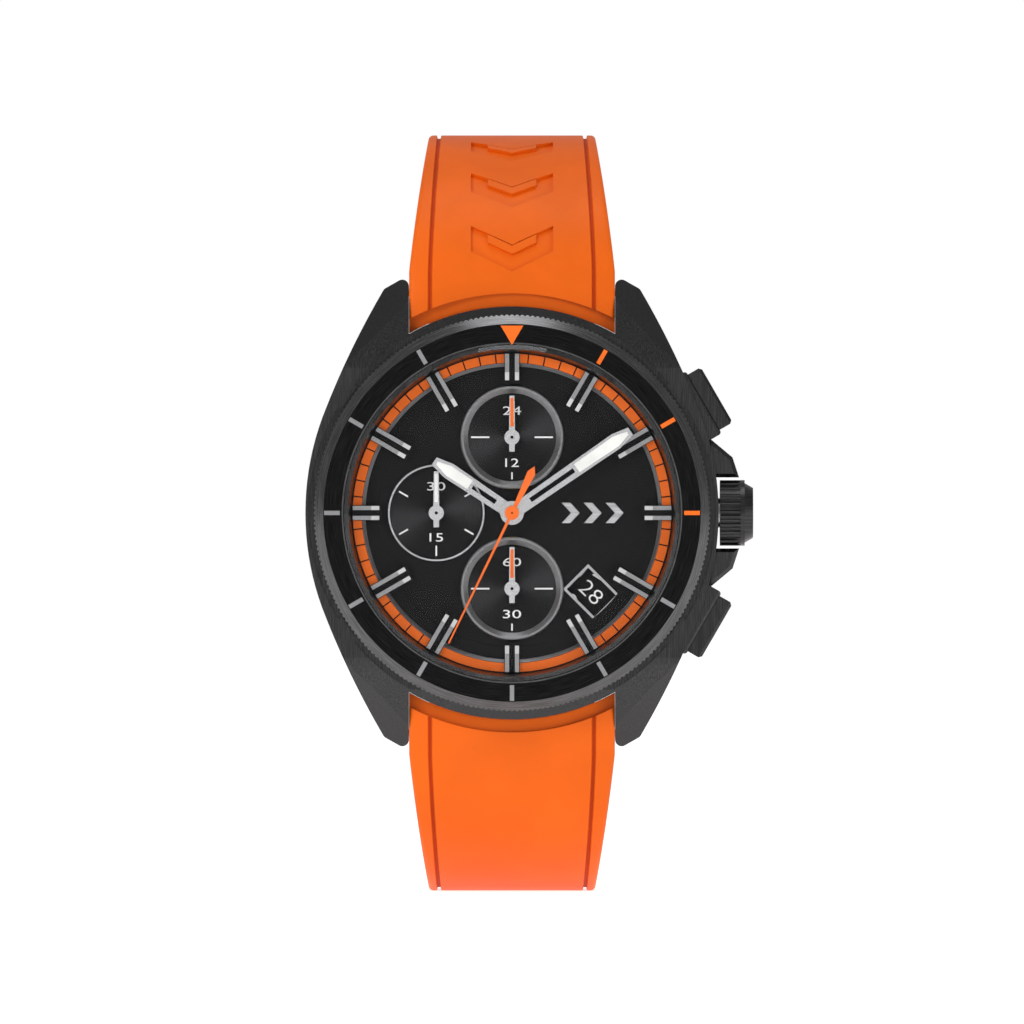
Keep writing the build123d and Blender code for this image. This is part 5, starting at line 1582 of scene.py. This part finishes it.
@dataclass
class Studio:
    """The pale floor, the lights, the sky and the camera."""

    floor: float
    distance: float = 3.05
    lens: float = 1000.0
    sky: float = 0.45
    boxes: tuple[Softbox, ...] = field(
        default=(
            Softbox("key", (-0.60, -0.90, 0.60), 0.5, 4.8),
            Softbox("fill", (0.80, -0.80, 0.05), 0.4, 2.2),
            Softbox("top", (0.0, -0.10, 0.95), 0.4, 2.0),
        )
    )

    def _ground(self) -> None:
        """Make the floor: one wide round sheet."""
        reach = 6.0
        turns = [math.pi * k / 24 for k in range(48)]
        rim = [(reach * math.cos(a), reach * math.sin(a), self.floor) for a in turns]
        mesh = bpy.data.meshes.new("studio_floor")
        mesh.from_pydata(rim, [], [tuple(range(len(rim)))])
        graph = Graph("studio_white")
        dust = graph.noise(0.02)
        graph.set(
            Base_Color=(0.93, 0.93, 0.93),
            Roughness=(dust - 0.5) * 0.1 + 0.85,
            Specular_IOR_Level=0.1,
            Emission_Color=(1.0, 1.0, 1.0),
            Emission_Strength=0.7,
        )
        mesh.materials.append(graph.material)
        ground = bpy.data.objects.new("studio_floor", mesh)
        bpy.context.scene.collection.objects.link(ground)

    def _air(self) -> None:
        """Make the sky: white to look at, and softer where it only lights."""
        world = bpy.data.worlds.new("studio_air")
        world.use_nodes = True
        nodes, links = world.node_tree.nodes, world.node_tree.links
        seen = nodes.new("ShaderNodeLightPath").outputs["Is Camera Ray"]
        level = nodes.new("ShaderNodeMapRange")
        level.inputs["To Min"].default_value = self.sky
        level.inputs["To Max"].default_value = 1.0
        links.new(seen, level.inputs["Value"])
        links.new(level.outputs["Result"], nodes["Background"].inputs["Strength"])
        nodes["Background"].inputs["Color"].default_value = (1.0, 1.0, 1.0, 1.0)
        bpy.context.scene.world = world

    def build(self) -> None:
        """Make the studio."""
        self._ground()
        self._air()
        for box in self.boxes:
            box.build()
        bpy.context.scene.view_settings.view_transform = "Standard"
        data = bpy.data.cameras.new("camera")
        data.lens, data.sensor_width = self.lens, 36.0
        data.clip_start, data.clip_end = 0.01, 20.0
        camera = bpy.data.objects.new("camera", data)
        camera.location = (0.0, -self.distance, 0.0001)
        camera.rotation_euler = (math.pi / 2, 0.0, 0.0)
        bpy.context.scene.collection.objects.link(camera)
        bpy.context.scene.camera = camera


def dress(frame: dict, materials: dict[str, bpy.types.Material]) -> None:
    """Give every CAD node its finish, by its slot in the record."""
    for part in frame["record"]["subparts"]:
        thing = frame["nodes"][part["node"]]
        material = materials[part["material_slot"]]
        if not thing.material_slots:
            thing.data.materials.append(material)
        for slot in thing.material_slots:
            slot.material = material
        log.info("%s: %s", part["node"], material.name)


def main() -> None:
    """Build the finished watch round its frame."""
    logging.basicConfig(level=logging.INFO, format="%(name)s %(message)s")
    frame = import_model()
    materials = {finish.name: finish.build() for finish in (*FINISHES, *INKS, GROOVE_SHADE)}
    dress(frame, materials)
    shop = Workshop(materials, RingOfMarks())
    for builder in (
        Bezel(shop),
        Dial(shop),
        DateNumbers(shop),
        Hands(shop),
        Strap(shop),
        Keeper(shop, "keeper_fixed", "case"),
        Keeper(shop, "keeper_free", "keeper_free"),
    ):
        builder.build()
    Studio(floor=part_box("strap_lower")[0].z).build()


if __name__ == "__main__":
    main()
